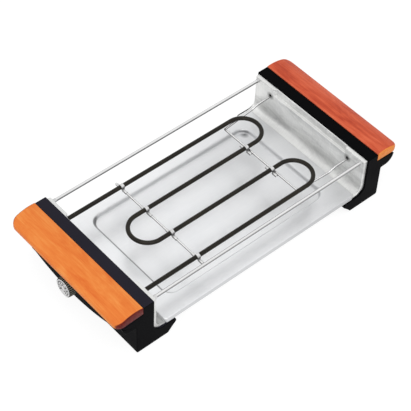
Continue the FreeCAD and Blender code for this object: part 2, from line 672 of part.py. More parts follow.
def drip_tray():
    """Pressed tray: a rim with turned-down edges round a rectangular pan."""
    skin = tray_form(0)
    under = tray_form(TRAY_SHEET)
    tray = skin.cut(under)
    ring = rounded_block(PAN_HALF_X + TRAY_SHEET, PAN_HALF_Y + TRAY_SHEET,
                         LINER_FLOOR + SEAT_GAP, LINER_FLOOR + SEAT_GAP + PAN_FLOOR_ROUND,
                         PAN_CORNER + TRAY_SHEET)
    tray = tray.cut(ring.cut(pan_skirt()))
    return tray


# ---- heater ----------------------------------------------------------------------------
def heater_element():
    """One sheathed tube: four level runs joined by three U-turns, both ends to the left."""
    bend = HEATER_BEND_X
    turn_r = RUN_PITCH / 2
    edges = []
    ends = [-SHEATH_END, bend, -bend, bend, -SHEATH_END]
    for i, y in enumerate(RUN_YS):
        edges.append(line(Vector(ends[i], y, HEATER_Z), Vector(ends[i + 1], y, HEATER_Z)))
        if i < len(RUN_YS) - 1:
            way = 1 if i % 2 == 0 else -1
            middle = Vector(ends[i + 1] + way * turn_r, y - turn_r, HEATER_Z)
            edges.append(Part.Arc(Vector(ends[i + 1], y, HEATER_Z), middle,
                                  Vector(ends[i + 1], y - RUN_PITCH, HEATER_Z)).toShape())
    start = Vector(-SHEATH_END, OUTER_RUN, HEATER_Z)
    ring = Part.Wire(Part.makeCircle(SHEATH_R, start, Vector(1, 0, 0)))
    return Part.Wire(edges).makePipeShell([ring], True, True)


def heater_seals():
    """Ceramic beads that close the sheath's two ends."""
    seals = []
    for y in (-OUTER_RUN, OUTER_RUN):
        start = (-SHEATH_END - TOUCH, y, HEATER_Z)
        bead = rod(SEAL_R, start, (-1, 0, 0), SEAL_LENGTH)
        seals.append(bead.cut(rod(PIN_R + TOUCH, start, (-1, 0, 0), SEAL_LENGTH)))
    return seals


def heater_pins():
    pins = []
    for y in (-OUTER_RUN, OUTER_RUN):
        pins.append(rod(PIN_R, (-SHEATH_END - TOUCH, y, HEATER_Z), (-1, 0, 0),
                        PIN_END - SHEATH_END))
    return pins


def heater_brackets():
    """Plates inside the left cap that hold the sheath's ends."""
    plates = []
    inside = CAP_INNER + CAP_WALL + TOUCH
    for y in (-OUTER_RUN, OUTER_RUN):
        plate = box(-inside - BRACKET_THICK, -inside, y - BRACKET_LENGTH / 2,
                    y + BRACKET_LENGTH / 2, HEATER_Z - BRACKET_WIDTH / 2,
                    HEATER_Z + BRACKET_WIDTH / 2)
        plate = plate.cut(rod(SHEATH_R + TOUCH, (-inside + 1, y, HEATER_Z), (-1, 0, 0),
                              BRACKET_THICK + 2))
        for side in (-1, 1):
            plate = plate.cut(rod(SCREW_R + TOUCH, (-inside + 1, y + side * BRACKET_SCREW_PITCH / 2,
                                                    HEATER_Z), (-1, 0, 0), BRACKET_THICK + 2))
        plates.append(plate)
    return plates


def bracket_screws():
    screws = []
    under_head = CAP_INNER + CAP_WALL + BRACKET_THICK + 2 * TOUCH
    for y in (-OUTER_RUN, OUTER_RUN):
        for side in (-1, 1):
            spot = (-under_head, y + side * BRACKET_SCREW_PITCH / 2, HEATER_Z)
            head = rod(SCREW_HEAD_R, spot, (-1, 0, 0), SCREW_HEAD)
            shank = rod(SCREW_R - TOUCH, spot, (1, 0, 0), BRACKET_THICK + CAP_WALL)
            screws.append(head.fuse(shank))
    return screws


# ---- support wires and clips -----------------------------------------------------------
def spacer_wire():
    """The straight wire that crosses under the four runs on the left."""
    return rod(WIRE_R, (SPACER_X, -SPACER_HALF, WIRE_Z), (0, 1, 0), 2 * SPACER_HALF)


def support_frame():
    """The bent wire that carries the U-turns, hooked through two holes of the right panel."""
    hook_x = LINER_FACE + SHEET + WIRE_R + 2 * SEAT_GAP
    y = OUTER_RUN
    half = [(hook_x, y, FRAME_END_Z - HOOK_DROP), (hook_x, y, FRAME_END_Z),
            (JOGGLE_HIGH_X, y, FRAME_END_Z), (JOGGLE_LOW_X, y, WIRE_Z), (FRAME_X, y, WIRE_Z)]
    other = [(x, -side, z) for x, side, z in reversed(half)]
    bends = [WIRE_R + SEAT_GAP, JOGGLE_BEND, JOGGLE_BEND, FRAME_BEND]
    return bent_bar(half + other, WIRE_R, bends + bends[::-1])


def clip(x, y):
    """A strip bent over the sheath, with tails folded round the wire on both sides."""
    arch_in = SHEATH_R + TOUCH
    arch_out = arch_in + CLIP_STRIP
    tail_z = WIRE_Z + WIRE_R + TOUCH
    x0 = x - CLIP_WIDTH / 2
    hoop = rod(arch_out, (x0, y, HEATER_Z), (1, 0, 0), CLIP_WIDTH)
    hoop = hoop.fuse(box(x0, x0 + CLIP_WIDTH, y - arch_out, y + arch_out, tail_z, HEATER_Z))
    hollow = rod(arch_in, (x0 - 1, y, HEATER_Z), (1, 0, 0), CLIP_WIDTH + 2)
    hollow = hollow.fuse(box(x0 - 1, x0 + CLIP_WIDTH + 1, y - arch_in, y + arch_in,
                             tail_z - 2 * arch_out, HEATER_Z))
    hoop = hoop.cut(hollow)
    half_tail = WIRE_R + TOUCH + CLIP_STRIP
    for side in (-1, 1):
        near = y + side * arch_in
        far = y + side * (arch_out + CLIP_TAIL)
        tail = box(x - half_tail, x + half_tail, min(near, far), max(near, far),
                   WIRE_Z - WIRE_R / 2, tail_z + CLIP_STRIP)
        slot = box(x - WIRE_R - TOUCH, x + WIRE_R + TOUCH, min(near, far) - 1,
                   max(near, far) + 1, WIRE_Z - 2 * WIRE_R, tail_z)
        shoulder = box(x0, x0 + CLIP_WIDTH, min(near, near + side * CLIP_STRIP),
                       max(near, near + side * CLIP_STRIP), tail_z, tail_z + CLIP_STRIP)
        hoop = hoop.fuse(tail.cut(slot)).fuse(shoulder)
    return hoop.removeSplitter()


# ---- tie rods --------------------------------------------------------------------------
def tie_rod(y):
    return rod(ROD_R, (-ROD_END, y, ROD_Z), (1, 0, 0), 2 * ROD_END)


def rod_nuts():
    """Hexagon nuts inside the caps that pull the caps together over the liner."""
    nuts = []
    start = CAP_INNER + LIP_SETBACK + CAP_WALL + TOUCH
    for y in (-ROD_Y, ROD_Y):
        hexagon = Part.makePolygon([Vector(start, y + NUT_R * math.cos(math.radians(60 * k)),
                                           ROD_Z + NUT_R * math.sin(math.radians(60 * k)))
                                    for k in range(7)])
        nut = Part.Face(hexagon).extrude(Vector(NUT_LENGTH, 0, 0))
        nut = nut.cut(rod(ROD_R + TOUCH, (start - 1, y, ROD_Z), (1, 0, 0), NUT_LENGTH + 2))
        nuts.extend(both_ends(nut))
    return nuts


def rod_collars():
    """Thin sleeves on the rods against the liner's panels."""
    collars = []
    for y in (-ROD_Y, ROD_Y):
        start = LINER_FACE - TOUCH - COLLAR_LENGTH
        collar = rod(COLLAR_R, (start, y, ROD_Z), (1, 0, 0), COLLAR_LENGTH)
        collar = collar.cut(rod(ROD_R + TOUCH, (start - 1, y, ROD_Z), (1, 0, 0), COLLAR_LENGTH + 2))
        collars.extend(both_ends(collar))
    return collars


# ---- thermostat and knob ---------------------------------------------------------------
def thermostat_body():
    """The switch block behind the boss, with its threaded neck through the boss wall."""
    inside = BOSS_FACE - CAP_WALL - TOUCH
    block = box(-inside, -inside + THERMO_DEPTH, -THERMO_Y / 2, THERMO_Y / 2,
                KNOB_Z - THERMO_Z / 2, KNOB_Z + THERMO_Z / 2)
    block = block.makeFillet(2.0, [e for e in block.Edges if e.BoundBox.XLength > 1])
    neck = rod(NECK_R, (-inside + 1, 0, KNOB_Z), (-1, 0, 0), CAP_WALL + NECK_OUT + 1)
    bore = rod(SHAFT_R + TOUCH, (-inside + THERMO_DEPTH / 2, 0, KNOB_Z), (-1, 0, 0),
               THERMO_DEPTH + CAP_WALL + NECK_OUT)
    return block.fuse(neck).cut(bore)


def thermostat_tabs():
    """Brass push-on blades on the back of the switch block."""
    back = BOSS_FACE - CAP_WALL - THERMO_DEPTH - 2 * TOUCH
    return [box(-back, -back + TAB_LENGTH, y - TAB_THICK / 2, y + TAB_THICK / 2,
                KNOB_Z - TAB_WIDTH / 2, KNOB_Z + TAB_WIDTH / 2) for y in (-TAB_Y, TAB_Y)]


def thermostat_nut():
    """The flat ring nut that clamps the neck to the boss."""
    start = (-BOSS_FACE - TOUCH, 0, KNOB_Z)
    ring = rod(NUT_TURN_R, start, (-1, 0, 0), NECK_OUT - 1)
    return ring.cut(rod(NECK_R + TOUCH, start, (-1, 0, 0), NECK_OUT))


def thermostat_shaft():
    inside = BOSS_FACE - CAP_WALL - THERMO_DEPTH / 2
    return rod(SHAFT_R, (-inside - SEAT_GAP, 0, KNOB_Z), (-1, 0, 0),
               KNOB_FACE - DIAL_SINK - 2 - inside)


def control_knob():
    """Round knob with a ribbed skirt, hollow behind, and a sunk face for the dial."""
    base = BOSS_FACE + KNOB_GAP
    height = KNOB_FACE - base
    knob = Part.makeCone(KNOB_R, KNOB_TIP_R, height, Vector(-base, 0, KNOB_Z), Vector(-1, 0, 0))
    tip = [e for e in knob.Edges if abs(e.BoundBox.XMin + KNOB_FACE) < 0.01
           and e.BoundBox.XLength < 0.01]
    knob = knob.makeFillet(0.8, tip)
    for k in range(KNOB_RIBS):
        angle = 2 * math.pi * k / KNOB_RIBS
        spot = (-base + 1, (KNOB_R + 0.25) * math.cos(angle),
                KNOB_Z + (KNOB_R + 0.25) * math.sin(angle))
        knob = knob.cut(rod(RIB_R, spot, (-1, 0, 0), height - 1))
    hollow = rod(KNOB_HOLLOW_R, (-base + 1, 0, KNOB_Z), (-1, 0, 0), KNOB_HOLLOW + 1)
    hub = rod(KNOB_HUB_R, (-base - NECK_OUT, 0, KNOB_Z), (-1, 0, 0), KNOB_HOLLOW)
    knob = knob.cut(hollow.cut(hub))
    knob = knob.cut(rod(SHAFT_R + TOUCH, (-base + 1, 0, KNOB_Z), (-1, 0, 0),
                        KNOB_FACE - DIAL_SINK - base))
    seat = rod(DIAL_R + TOUCH, (-KNOB_FACE + DIAL_SINK, 0, KNOB_Z), (-1, 0, 0), DIAL_SINK + 1)
    return knob.cut(seat)


def knob_dial():
    """Bright disc let into the knob's face, its outer rim rounded."""
    start = -KNOB_FACE + DIAL_SINK - TOUCH
    disc = rod(DIAL_R, (start, 0, KNOB_Z), (-1, 0, 0), DIAL_THICK)
    rim = [e for e in disc.Edges if abs(e.BoundBox.XMin - (start - DIAL_THICK)) < 0.01
           and e.BoundBox.XLength < 0.01]
    return disc.makeFillet(0.35, rim)


# ---- wiring inside the left cap --------------------------------------------------------
def terminal_block():
    inside = CAP_INNER + CAP_WALL + TOUCH
    block = box(-inside - BLOCK_DEPTH, -inside, BLOCK_Y - BLOCK_LENGTH / 2,
                BLOCK_Y + BLOCK_LENGTH / 2, BLOCK_Z - BLOCK_HEIGHT / 2, BLOCK_Z + BLOCK_HEIGHT / 2)
    mid = -inside - BLOCK_DEPTH / 2
    for k in (-1, 0, 1):
        y = BLOCK_Y + k * BLOCK_PITCH
        block = block.cut(rod(SCREW_R + TOUCH, (-inside - BLOCK_DEPTH - 1, y, BLOCK_Z), (1, 0, 0),
                              BLOCK_DEPTH / 2))
        block = block.cut(rod(LEAD_R + SEAT_GAP, (mid, y, BLOCK_Z - BLOCK_HEIGHT), (0, 0, 1),
                              2 * BLOCK_HEIGHT))
    return block


def terminal_screws():
    screws = []
    inside = CAP_INNER + CAP_WALL + TOUCH
    for k in (-1, 0, 1):
        y = BLOCK_Y + k * BLOCK_PITCH
        length = BLOCK_DEPTH / 2 - LEAD_R - 2 * SEAT_GAP
        screws.append(rod(SCREW_R, (-inside - BLOCK_DEPTH, y, BLOCK_Z), (1, 0, 0), length))
    return screws


def heater_lead(start, side):
    """A lead from its start to a heater pin: it slopes outward, then loops up to the pin."""
    x, y, z = start
    pin_x = -PIN_END - 2 * TOUCH
    loop_x = pin_x - LEAD_LOOP
    reach = side * OUTER_RUN
    inward = side * (OUTER_RUN - LEAD_SIDE)
    slope_y = y + side * LEAD_SIDE
    return [start, (x - LEAD_RISE, slope_y, HEATER_Z - LEAD_SAG),
            (loop_x, inward, HEATER_Z - LEAD_SAG), (loop_x, reach, HEATER_Z),
            (pin_x, reach, HEATER_Z)]


def leads():
    """Insulated leads: straight runs with round bends between block, switch and heater."""
    inside = CAP_INNER + CAP_WALL + TOUCH
    mid = -inside - BLOCK_DEPTH / 2
    lane = mid - LEAD_LANE
    block_top = BLOCK_Z + BLOCK_HEIGHT / 2 - BLOCK_SINK
    tab_x = -(BOSS_FACE - CAP_WALL - THERMO_DEPTH) + TAB_LENGTH + 3 * TOUCH
    live_y = BLOCK_Y - BLOCK_PITCH
    earth_y = BLOCK_Y + BLOCK_PITCH
    live = [(mid, live_y, block_top), (mid, live_y, KNOB_Z), (lane, TAB_Y + LEAD_SIDE, KNOB_Z),
            (lane, TAB_Y, KNOB_Z), (tab_x, TAB_Y, KNOB_Z)]
    neutral = [(mid, BLOCK_Y, block_top)] + heater_lead((mid, BLOCK_Y, KNOB_Z), 1)
    fuse_y = -TAB_Y - LEAD_SIDE
    fuse_end = fuse_y - FUSE_LENGTH - 2 * TOUCH
    feed = [(tab_x, -TAB_Y, KNOB_Z), (lane, -TAB_Y, KNOB_Z), (lane, fuse_y, KNOB_Z)]
    switched = [(lane, fuse_end, KNOB_Z)]
    switched += heater_lead((lane, fuse_end - LEAD_SIDE, KNOB_Z), -1)
    turn_z = EARTH_Z - EARTH_DROP
    crimp_x = -inside - LUG_THICK - TOUCH - LEAD_R
    earth = [(mid, earth_y, block_top), (mid, earth_y, turn_z),
             (crimp_x, EARTH_Y, turn_z + EARTH_CROSS),
             (crimp_x, EARTH_Y, EARTH_Z - SCREW_HEAD_R - EARTH_GAP)]
    fuse = rod(FUSE_R, (lane, fuse_y - TOUCH, KNOB_Z), (0, -1, 0), FUSE_LENGTH)
    looped = [LEAD_BEND_WIDE, LEAD_BEND_WIDE, LEAD_BEND, LEAD_BEND]
    return {
        "lead_live": bent_bar(live, LEAD_R, [LEAD_BEND] * 3),
        "lead_neutral": bent_bar(neutral, LEAD_R, looped),
        "lead_to_fuse": bent_bar(feed, LEAD_R, [LEAD_BEND]),
        "lead_to_heater": bent_bar(switched, LEAD_R, looped),
        "lead_earth": bent_bar(earth, LEAD_R, [LEAD_BEND, LEAD_BEND]),
        "thermal_fuse": fuse,
    }


def earth_screw():
    """Screw through the cap wall into the liner's end panel."""
    under_head = CAP_INNER + CAP_WALL + LUG_THICK + 2 * TOUCH
    spot = (-under_head, EARTH_Y, EARTH_Z)
    head = rod(SCREW_HEAD_R, spot, (-1, 0, 0), SCREW_HEAD)
    shank = rod(SCREW_R - TOUCH, spot, (1, 0, 0), under_head - LINER_FACE + SHEET)
    return head.fuse(shank)


def earth_lug():
    """Ring lug under the earth screw's head, its stem hanging down beside the lead."""
    face = CAP_INNER + CAP_WALL + TOUCH
    lug = rod(LUG_R, (-face, EARTH_Y, EARTH_Z), (-1, 0, 0), LUG_THICK)
    stem = box(-face - LUG_THICK, -face, EARTH_Y - LUG_R / 2, EARTH_Y + LUG_R / 2,
               EARTH_Z - SCREW_HEAD_R - LUG_STEM, EARTH_Z)
    hole = rod(SCREW_R + TOUCH, (-face + 1, EARTH_Y, EARTH_Z), (-1, 0, 0), LUG_THICK + 2)
    return lug.fuse(stem).cut(hole)


def cord_grommet():
    """Rubber bush for the supply cord, snapped into the left cap's outer wall."""
    inner = CAP_OUTER - CAP_WALL - GROMMET_FLANGE
    length = CAP_WALL + 2 * GROMMET_FLANGE
    start = (-inner, GROMMET_Y, GROMMET_Z)
    body = rod(GROMMET_FLANGE_R, start, (-1, 0, 0), length)
    groove_start = (-inner - GROMMET_FLANGE + TOUCH, GROMMET_Y, GROMMET_Z)
    groove = rod(GROMMET_FLANGE_R + 1, groove_start, (-1, 0, 0), CAP_WALL + 2 * TOUCH)
    groove = groove.cut(rod(GROMMET_NECK_R, groove_start, (-1, 0, 0), CAP_WALL + 2 * TOUCH))
    bore = rod(GROMMET_BORE_R, (-inner + 1, GROMMET_Y, GROMMET_Z), (-1, 0, 0), length + 2)
    return body.cut(groove).cut(bore)


def main():
    os.makedirs("parts", exist_ok=True)
    save("left_end_cap", mirrored(cap_shell(True)))
    save("right_end_cap", cap_shell(False))
    cover = base_cover()
    save("left_base_cover", mirrored(cover))
    save("right_base_cover", cover)
    save("base_cover_screws", [s for screw in base_screws() for s in both_ends(screw)])
    save("rubber_feet", [f for foot in rubber_feet() for f in both_ends(foot)])
    wood = grip()
    save("left_wood_grip", mirrored(wood))
    save("right_wood_grip", wood)
    save("grip_screws", [s for screw in grip_screws() for s in both_ends(screw)])
    save("liner", liner())
    save("drip_tray", drip_tray())
    save("front_tie_rod", tie_rod(-ROD_Y))
    save("back_tie_rod", tie_rod(ROD_Y))
    save("tie_rod_nuts", rod_nuts())
    save("tie_rod_collars", rod_collars())
    save("heater_element", heater_element())
    save("heater_end_seals", heater_seals())
    save("heater_pins", heater_pins())
    save("heater_brackets", heater_brackets())
    save("bracket_screws", bracket_screws())
    save("spacer_wire", spacer_wire())
    save("spacer_clips", [clip(SPACER_X, y) for y in RUN_YS])
    save("support_frame", support_frame())
    save("support_clips", [clip(FRAME_X, y) for y in RUN_YS[1:3]])
    save("thermostat_body", thermostat_body())
    save("thermostat_tabs", thermostat_tabs())
    save("thermostat_nut", thermostat_nut())
    save("thermostat_shaft", thermostat_shaft())
    save("control_knob", control_knob())
    save("knob_dial", knob_dial())
    save("terminal_block", terminal_block())
    save("terminal_screws", terminal_screws())
    for name, shape in leads().items():
        save(name, shape)
    save("earth_screw", earth_screw())
    save("earth_lug", earth_lug())
    save("cord_grommet", cord_grommet())


main()
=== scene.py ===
import json
import math

import bmesh
import bpy
from mathutils import Matrix, Vector


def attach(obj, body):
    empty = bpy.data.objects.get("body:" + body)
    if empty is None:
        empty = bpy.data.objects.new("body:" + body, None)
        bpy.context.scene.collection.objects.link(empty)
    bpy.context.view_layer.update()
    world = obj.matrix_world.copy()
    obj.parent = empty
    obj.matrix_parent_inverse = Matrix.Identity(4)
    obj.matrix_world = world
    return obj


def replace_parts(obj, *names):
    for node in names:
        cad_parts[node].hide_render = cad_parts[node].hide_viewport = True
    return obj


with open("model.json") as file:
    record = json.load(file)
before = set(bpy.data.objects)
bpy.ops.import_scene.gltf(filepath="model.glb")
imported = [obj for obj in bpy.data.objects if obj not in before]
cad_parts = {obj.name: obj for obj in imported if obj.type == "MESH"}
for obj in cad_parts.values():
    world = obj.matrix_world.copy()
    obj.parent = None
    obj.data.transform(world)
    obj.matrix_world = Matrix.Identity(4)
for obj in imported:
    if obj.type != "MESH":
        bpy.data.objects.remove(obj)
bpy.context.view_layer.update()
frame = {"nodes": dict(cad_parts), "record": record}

# Lengths are millimetres until a mesh is made, where MM turns them into metres.
# X runs from the knob's end to the other, Y from front to back, and the table is at Z = 0.
MM = 0.001
HALF_LENGTH, HALF_DEPTH = 259.0, 117.5

# End caps: faces of the wall, the strip beside the grip, the bulge and sloping seat under the
# grip, and the foot; X is taken from the middle of the object.
CAP_INNER, CAP_OUTER, CAP_WALL, CAP_BASE, CAP_EDGE = 197.4, 227.0, 2.5, 1.5, 0.9
CAP_CURVE = 14.9
STRIP_TOP, STRIP_OUTER = 90.6, 216.3
BULGE_OUTER, BULGE_BOTTOM, SEAT_OUTER_Z, SEAT_INNER_Z = 250.7, 57.5, 73.5, 78.0
FOOT_INNER, FOOT_TIP = 172.5, 158.5

# The left cap's boss, with the knob's pocket and the bores for its shaft and for the cord.
BOSS_FACE, BOSS_HALF, BOSS_SIDE_Z, BOSS_BOTTOM_Z, BOSS_ROUND = 246.5, 83.5, 46.0, 31.8, 3.0
BOSS_CORNER, BOSS_CEILING = 3.2, 66.0
POCKET_R, SHAFT_BORE_R, CORD_BORE_R, CORD_Y, CORD_Z = 16.7, 4.85, 6.05, 86.0, 26.0

# Wooden grips: roundings of the under and upper rims, of the inner edge and of the corners.
GRIP_IN = STRIP_OUTER + 0.05
GRIP_UNDER, GRIP_OVER, GRIP_STEP, GRIP_CORNER = 4.6, 2.6, 0.9, 12.0
SEAT_GAP = 0.05
CROWN_INNER_Z, CROWN_MIDDLE_Z, CROWN_OUTER_Z = 91.8, 91.6, 82.8

# Liner: sheet, inner faces, pressed ledges, top flange, turned-out edges and heater holes.
SHEET, LINER_FACE, LINER_FLOOR, LINER_BEND, LINER_TOP_Z = 0.8, 191.5, 24.0, 14.5, 88.2
LINER_HALF_Y, LEDGE_FACE, LEDGE_HALF = 114.7, 196.0, 75.0
FLANGE_BEND, FLANGE_X, RETURN_REACH = 1.4, CAP_INNER + 1.25, 197.1
HOLE_R, HOLE_Z = 2.5, 71.85

# Drip tray: its rim sits forward of the middle, its pan in the middle.
RIM_X, RIM_Y, RIM_Z, RIM_LOW, RIM_MIDDLE = 177.5, 112.5, 31.5, 24.35, -4.0
RIM_CORNER, RIM_EDGE = 5.0, 1.6
PAN_X, PAN_Y, PAN_CORNER, PAN_EDGE, PAN_ROUND, PAN_FLOOR = 146.0, 87.0, 16.0, 3.2, 3.0, 24.95
TRAY_SHEET = 0.5

# Heater, the wires under it and the clips that hold it to them.
HEATER_Z, SHEATH_R, RUN, BEND_X, SHEATH_END = 68.4, 3.25, 81.9, 112.5, 206.0
WIRE_R, WIRE_Z, SPACER_X, SPACER_HALF, FRAME_X = 1.6, 63.5, -92.3, 95.0, 94.0
CLIP_THICK, CLIP_HALF, CLIP_REACH, CLIP_GAP = 0.6, 2.5, 7.5, 0.05

# Knob and dial.
KNOB_Z, KNOB_BASE, KNOB_FACE, KNOB_RIBS = 52.0, 247.3, 258.4, 30
DIAL_FRONT = KNOB_FACE + 0.4
NUMERAL_SIZE, NUMERAL_R = 4.4, 7.6


# ---- mesh helpers --------------------------------------------------------------------
def settle(mesh, angle):
    """Smooth shading with sharp edges where faces meet at more than angle degrees."""
    mesh.polygons.foreach_set("use_smooth", [True] * len(mesh.polygons))
    mesh.set_sharp_from_angle(angle=math.radians(angle))
    mesh.update()


def make(name, points, faces, material, body, slot, angle=32):
    """A new piece from millimetre points, in the row frame, riding on a body."""
    mesh = bpy.data.meshes.new(name)
    mesh.from_pydata([Vector(p) * MM for p in points], [], faces)
    work = bmesh.new()
    work.from_mesh(mesh)
    bmesh.ops.remove_doubles(work, verts=work.verts, dist=1e-6)
    wide = [face for face in work.faces if len(face.verts) > 4]
    bmesh.ops.triangulate(work, faces=wide, ngon_method="EAR_CLIP")
    bmesh.ops.recalc_face_normals(work, faces=work.faces)
    work.to_mesh(mesh)
    work.free()
    settle(mesh, angle)
    piece = bpy.data.objects.new(name, mesh)
    bpy.context.scene.collection.objects.link(piece)
    if material:
        mesh.materials.append(material)
    if body:
        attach(piece, body)
    return piece


def bake(piece, angle):
    """Apply the piece's modifiers to its mesh."""
    found = piece.evaluated_get(bpy.context.evaluated_depsgraph_get())
    mesh = bpy.data.meshes.new_from_object(found)
    piece.modifiers.clear()
    piece.data = mesh
    settle(mesh, angle)


def tool(points, faces):
    """A solid to add or cut with, which rides on nothing and is never shown."""
    return make("tool", points, faces, None, None, None)


def combine(piece, other, how, angle=32):
    """Add or cut another solid, which is then thrown away."""
    step = piece.modifiers.new(how, "BOOLEAN")
    step.operation = how
    step.object = other
    step.solver = "EXACT"
    bake(piece, angle)
    bpy.data.objects.remove(other)


def thicken(piece, thickness, even):
    """Give a sheet its thickness, away from its normals; even keeps it full through bends."""
    thick = piece.modifiers.new("thick", "SOLIDIFY")
    thick.thickness = thickness * MM
    thick.offset = -1
    thick.use_even_offset = even
    bake(piece, 40)


def loft(rings, ends=True, closed=True):
    """Points and faces over rings that all have the same number of points."""
    count = len(rings[0])
    points = [p for ring in rings for p in ring]
    faces = []
    for i in range(len(rings) - 1):
        for j in range(count if closed else count - 1):
            k = (j + 1) % count
            faces.append((i * count + j, i * count + k, (i + 1) * count + k, (i + 1) * count + j))
    if ends:
        faces.append(tuple(range(count)))
        faces.append(tuple(range(len(points) - count, len(points))))
    return points, faces


def turns(count):
    """The angles of count even steps round a full turn."""
    return [2 * math.pi * k / count for k in range(count)]


def quarter(radius, steps):
    """A quarter round as pairs of distances, from (radius, 0) to (0, radius)."""
    angles = [math.pi / 2 * k / steps for k in range(steps + 1)]
    return [(radius * (1 - math.sin(a)), radius * (1 - math.cos(a))) for a in angles]


def rounded(corners, fixed=0):
    """A closed outline from (u, v, radius) corners, its arcs in 2 mm or a fixed count of steps."""
    out = []
    for i, (u, v, radius) in enumerate(corners):
        here = Vector((u, v))
        back = (Vector(corners[i - 1][:2]) - here).normalized()
        ahead = (Vector(corners[(i + 1) % len(corners)][:2]) - here).normalized()
        if radius <= 0:
            out.append(here)
            continue
        half = math.acos(max(-1, min(1, back.dot(ahead)))) / 2
        centre = here + (back + ahead).normalized() * (radius / math.sin(half))
        first = here + back * (radius / math.tan(half)) - centre
        last = here + ahead * (radius / math.tan(half)) - centre
        turn = math.atan2(first.x * last.y - first.y * last.x, first.dot(last))
        steps = fixed or max(3, int(abs(turn) * radius / 2.0) + 1)
        for k in range(steps + 1):
            a = turn * k / steps
            out.append(centre + Vector((first.x * math.cos(a) - first.y * math.sin(a),
                                        first.x * math.sin(a) + first.y * math.cos(a))))
    return out


def inset(outline, amount):
    """An anticlockwise outline moved inward."""
    out = []
    for i, here in enumerate(outline):
        a = (here - outline[i - 1]).normalized()
        b = (outline[(i + 1) % len(outline)] - here).normalized()
        m = Vector((-a.y - b.y, a.x + b.x))
        out.append(here + m * (amount / max(0.3, 1 + a.dot(b))))
    return out


def slab(outline, low, high, edge, place):
    """A solid between low and high over an outline, its two rims rounded by edge."""
    rim = quarter(edge, 3)
    rings = [(inset(outline, inward), low + rise) for inward, rise in rim]
    rings += [(inset(outline, inward), high - drop) for inward, drop in reversed(rim)]
    return loft([[place(p.x, p.y, w) for p in ring] for ring, w in rings])


def route(points, bends, steps):
    """Points along straight runs joined by tangent arcs, one bend radius for each inner point."""
    points = [Vector(p) for p in points]
    out = [points[0]]
    for before, here, after, radius in zip(points, points[1:], points[2:], bends):
        back = (before - here).normalized()
        ahead = (after - here).normalized()
        half = back.angle(ahead) / 2
        centre = here + (back + ahead).normalized() * (radius / math.sin(half))
        first = here + back * (radius / math.tan(half)) - centre
        last = here + ahead * (radius / math.tan(half)) - centre
        for k in range(steps + 1):
            out.append(centre + first.slerp(last, k / steps))
    return out + [points[-1]]


def tube(path, radius, around, nose=0.0):
    """Rings of a round bar along a path; nose rounds its two ends."""
    ends = [(0, radius - nose), (nose * 0.3, radius - nose * 0.3), (nose, radius)]
    rings = []
    side = Vector((0, 0, 1))
    if abs((path[1] - path[0]).normalized().z) > 0.9:
        side = Vector((0, 1, 0))
    for i, here in enumerate(path):
        before = (here - path[i - 1]).normalized() if i else None
        after = (path[i + 1] - here).normalized() if i < len(path) - 1 else None
        along = ((before or after) + (after or before)).normalized()
        side = (side - along * side.dot(along)).normalized()
        other = along.cross(side)
        if not nose or (before and after):
            sizes = [(0, radius)]
        elif after:
            sizes = ends
        else:
            sizes = [(-shift, size) for shift, size in reversed(ends)]
        for shift, size in sizes:
            rings.append([here + along * shift + (side * math.cos(t) + other * math.sin(t)) * size
                          for t in turns(around)])
    return loft(rings)


def join(*parts):
    """Several (points, faces) pairs as one."""
    points, faces = [], []
    for some, more in parts:
        start = len(points)
        points += list(some)
        faces += [tuple(start + i for i in f) for f in more]
    return points, faces


def drum(centre, axis, radius, length, around=48):
    """A round solid of a given length from centre along axis."""
    start = Vector(centre)
    return tube([start, start + Vector(axis) * length], radius, around)


# ---- material helpers ------------------------------------------------------------------
def link(tree, source, target):
    """Join a node's output to another's input."""
    tree.links.new(source, target)


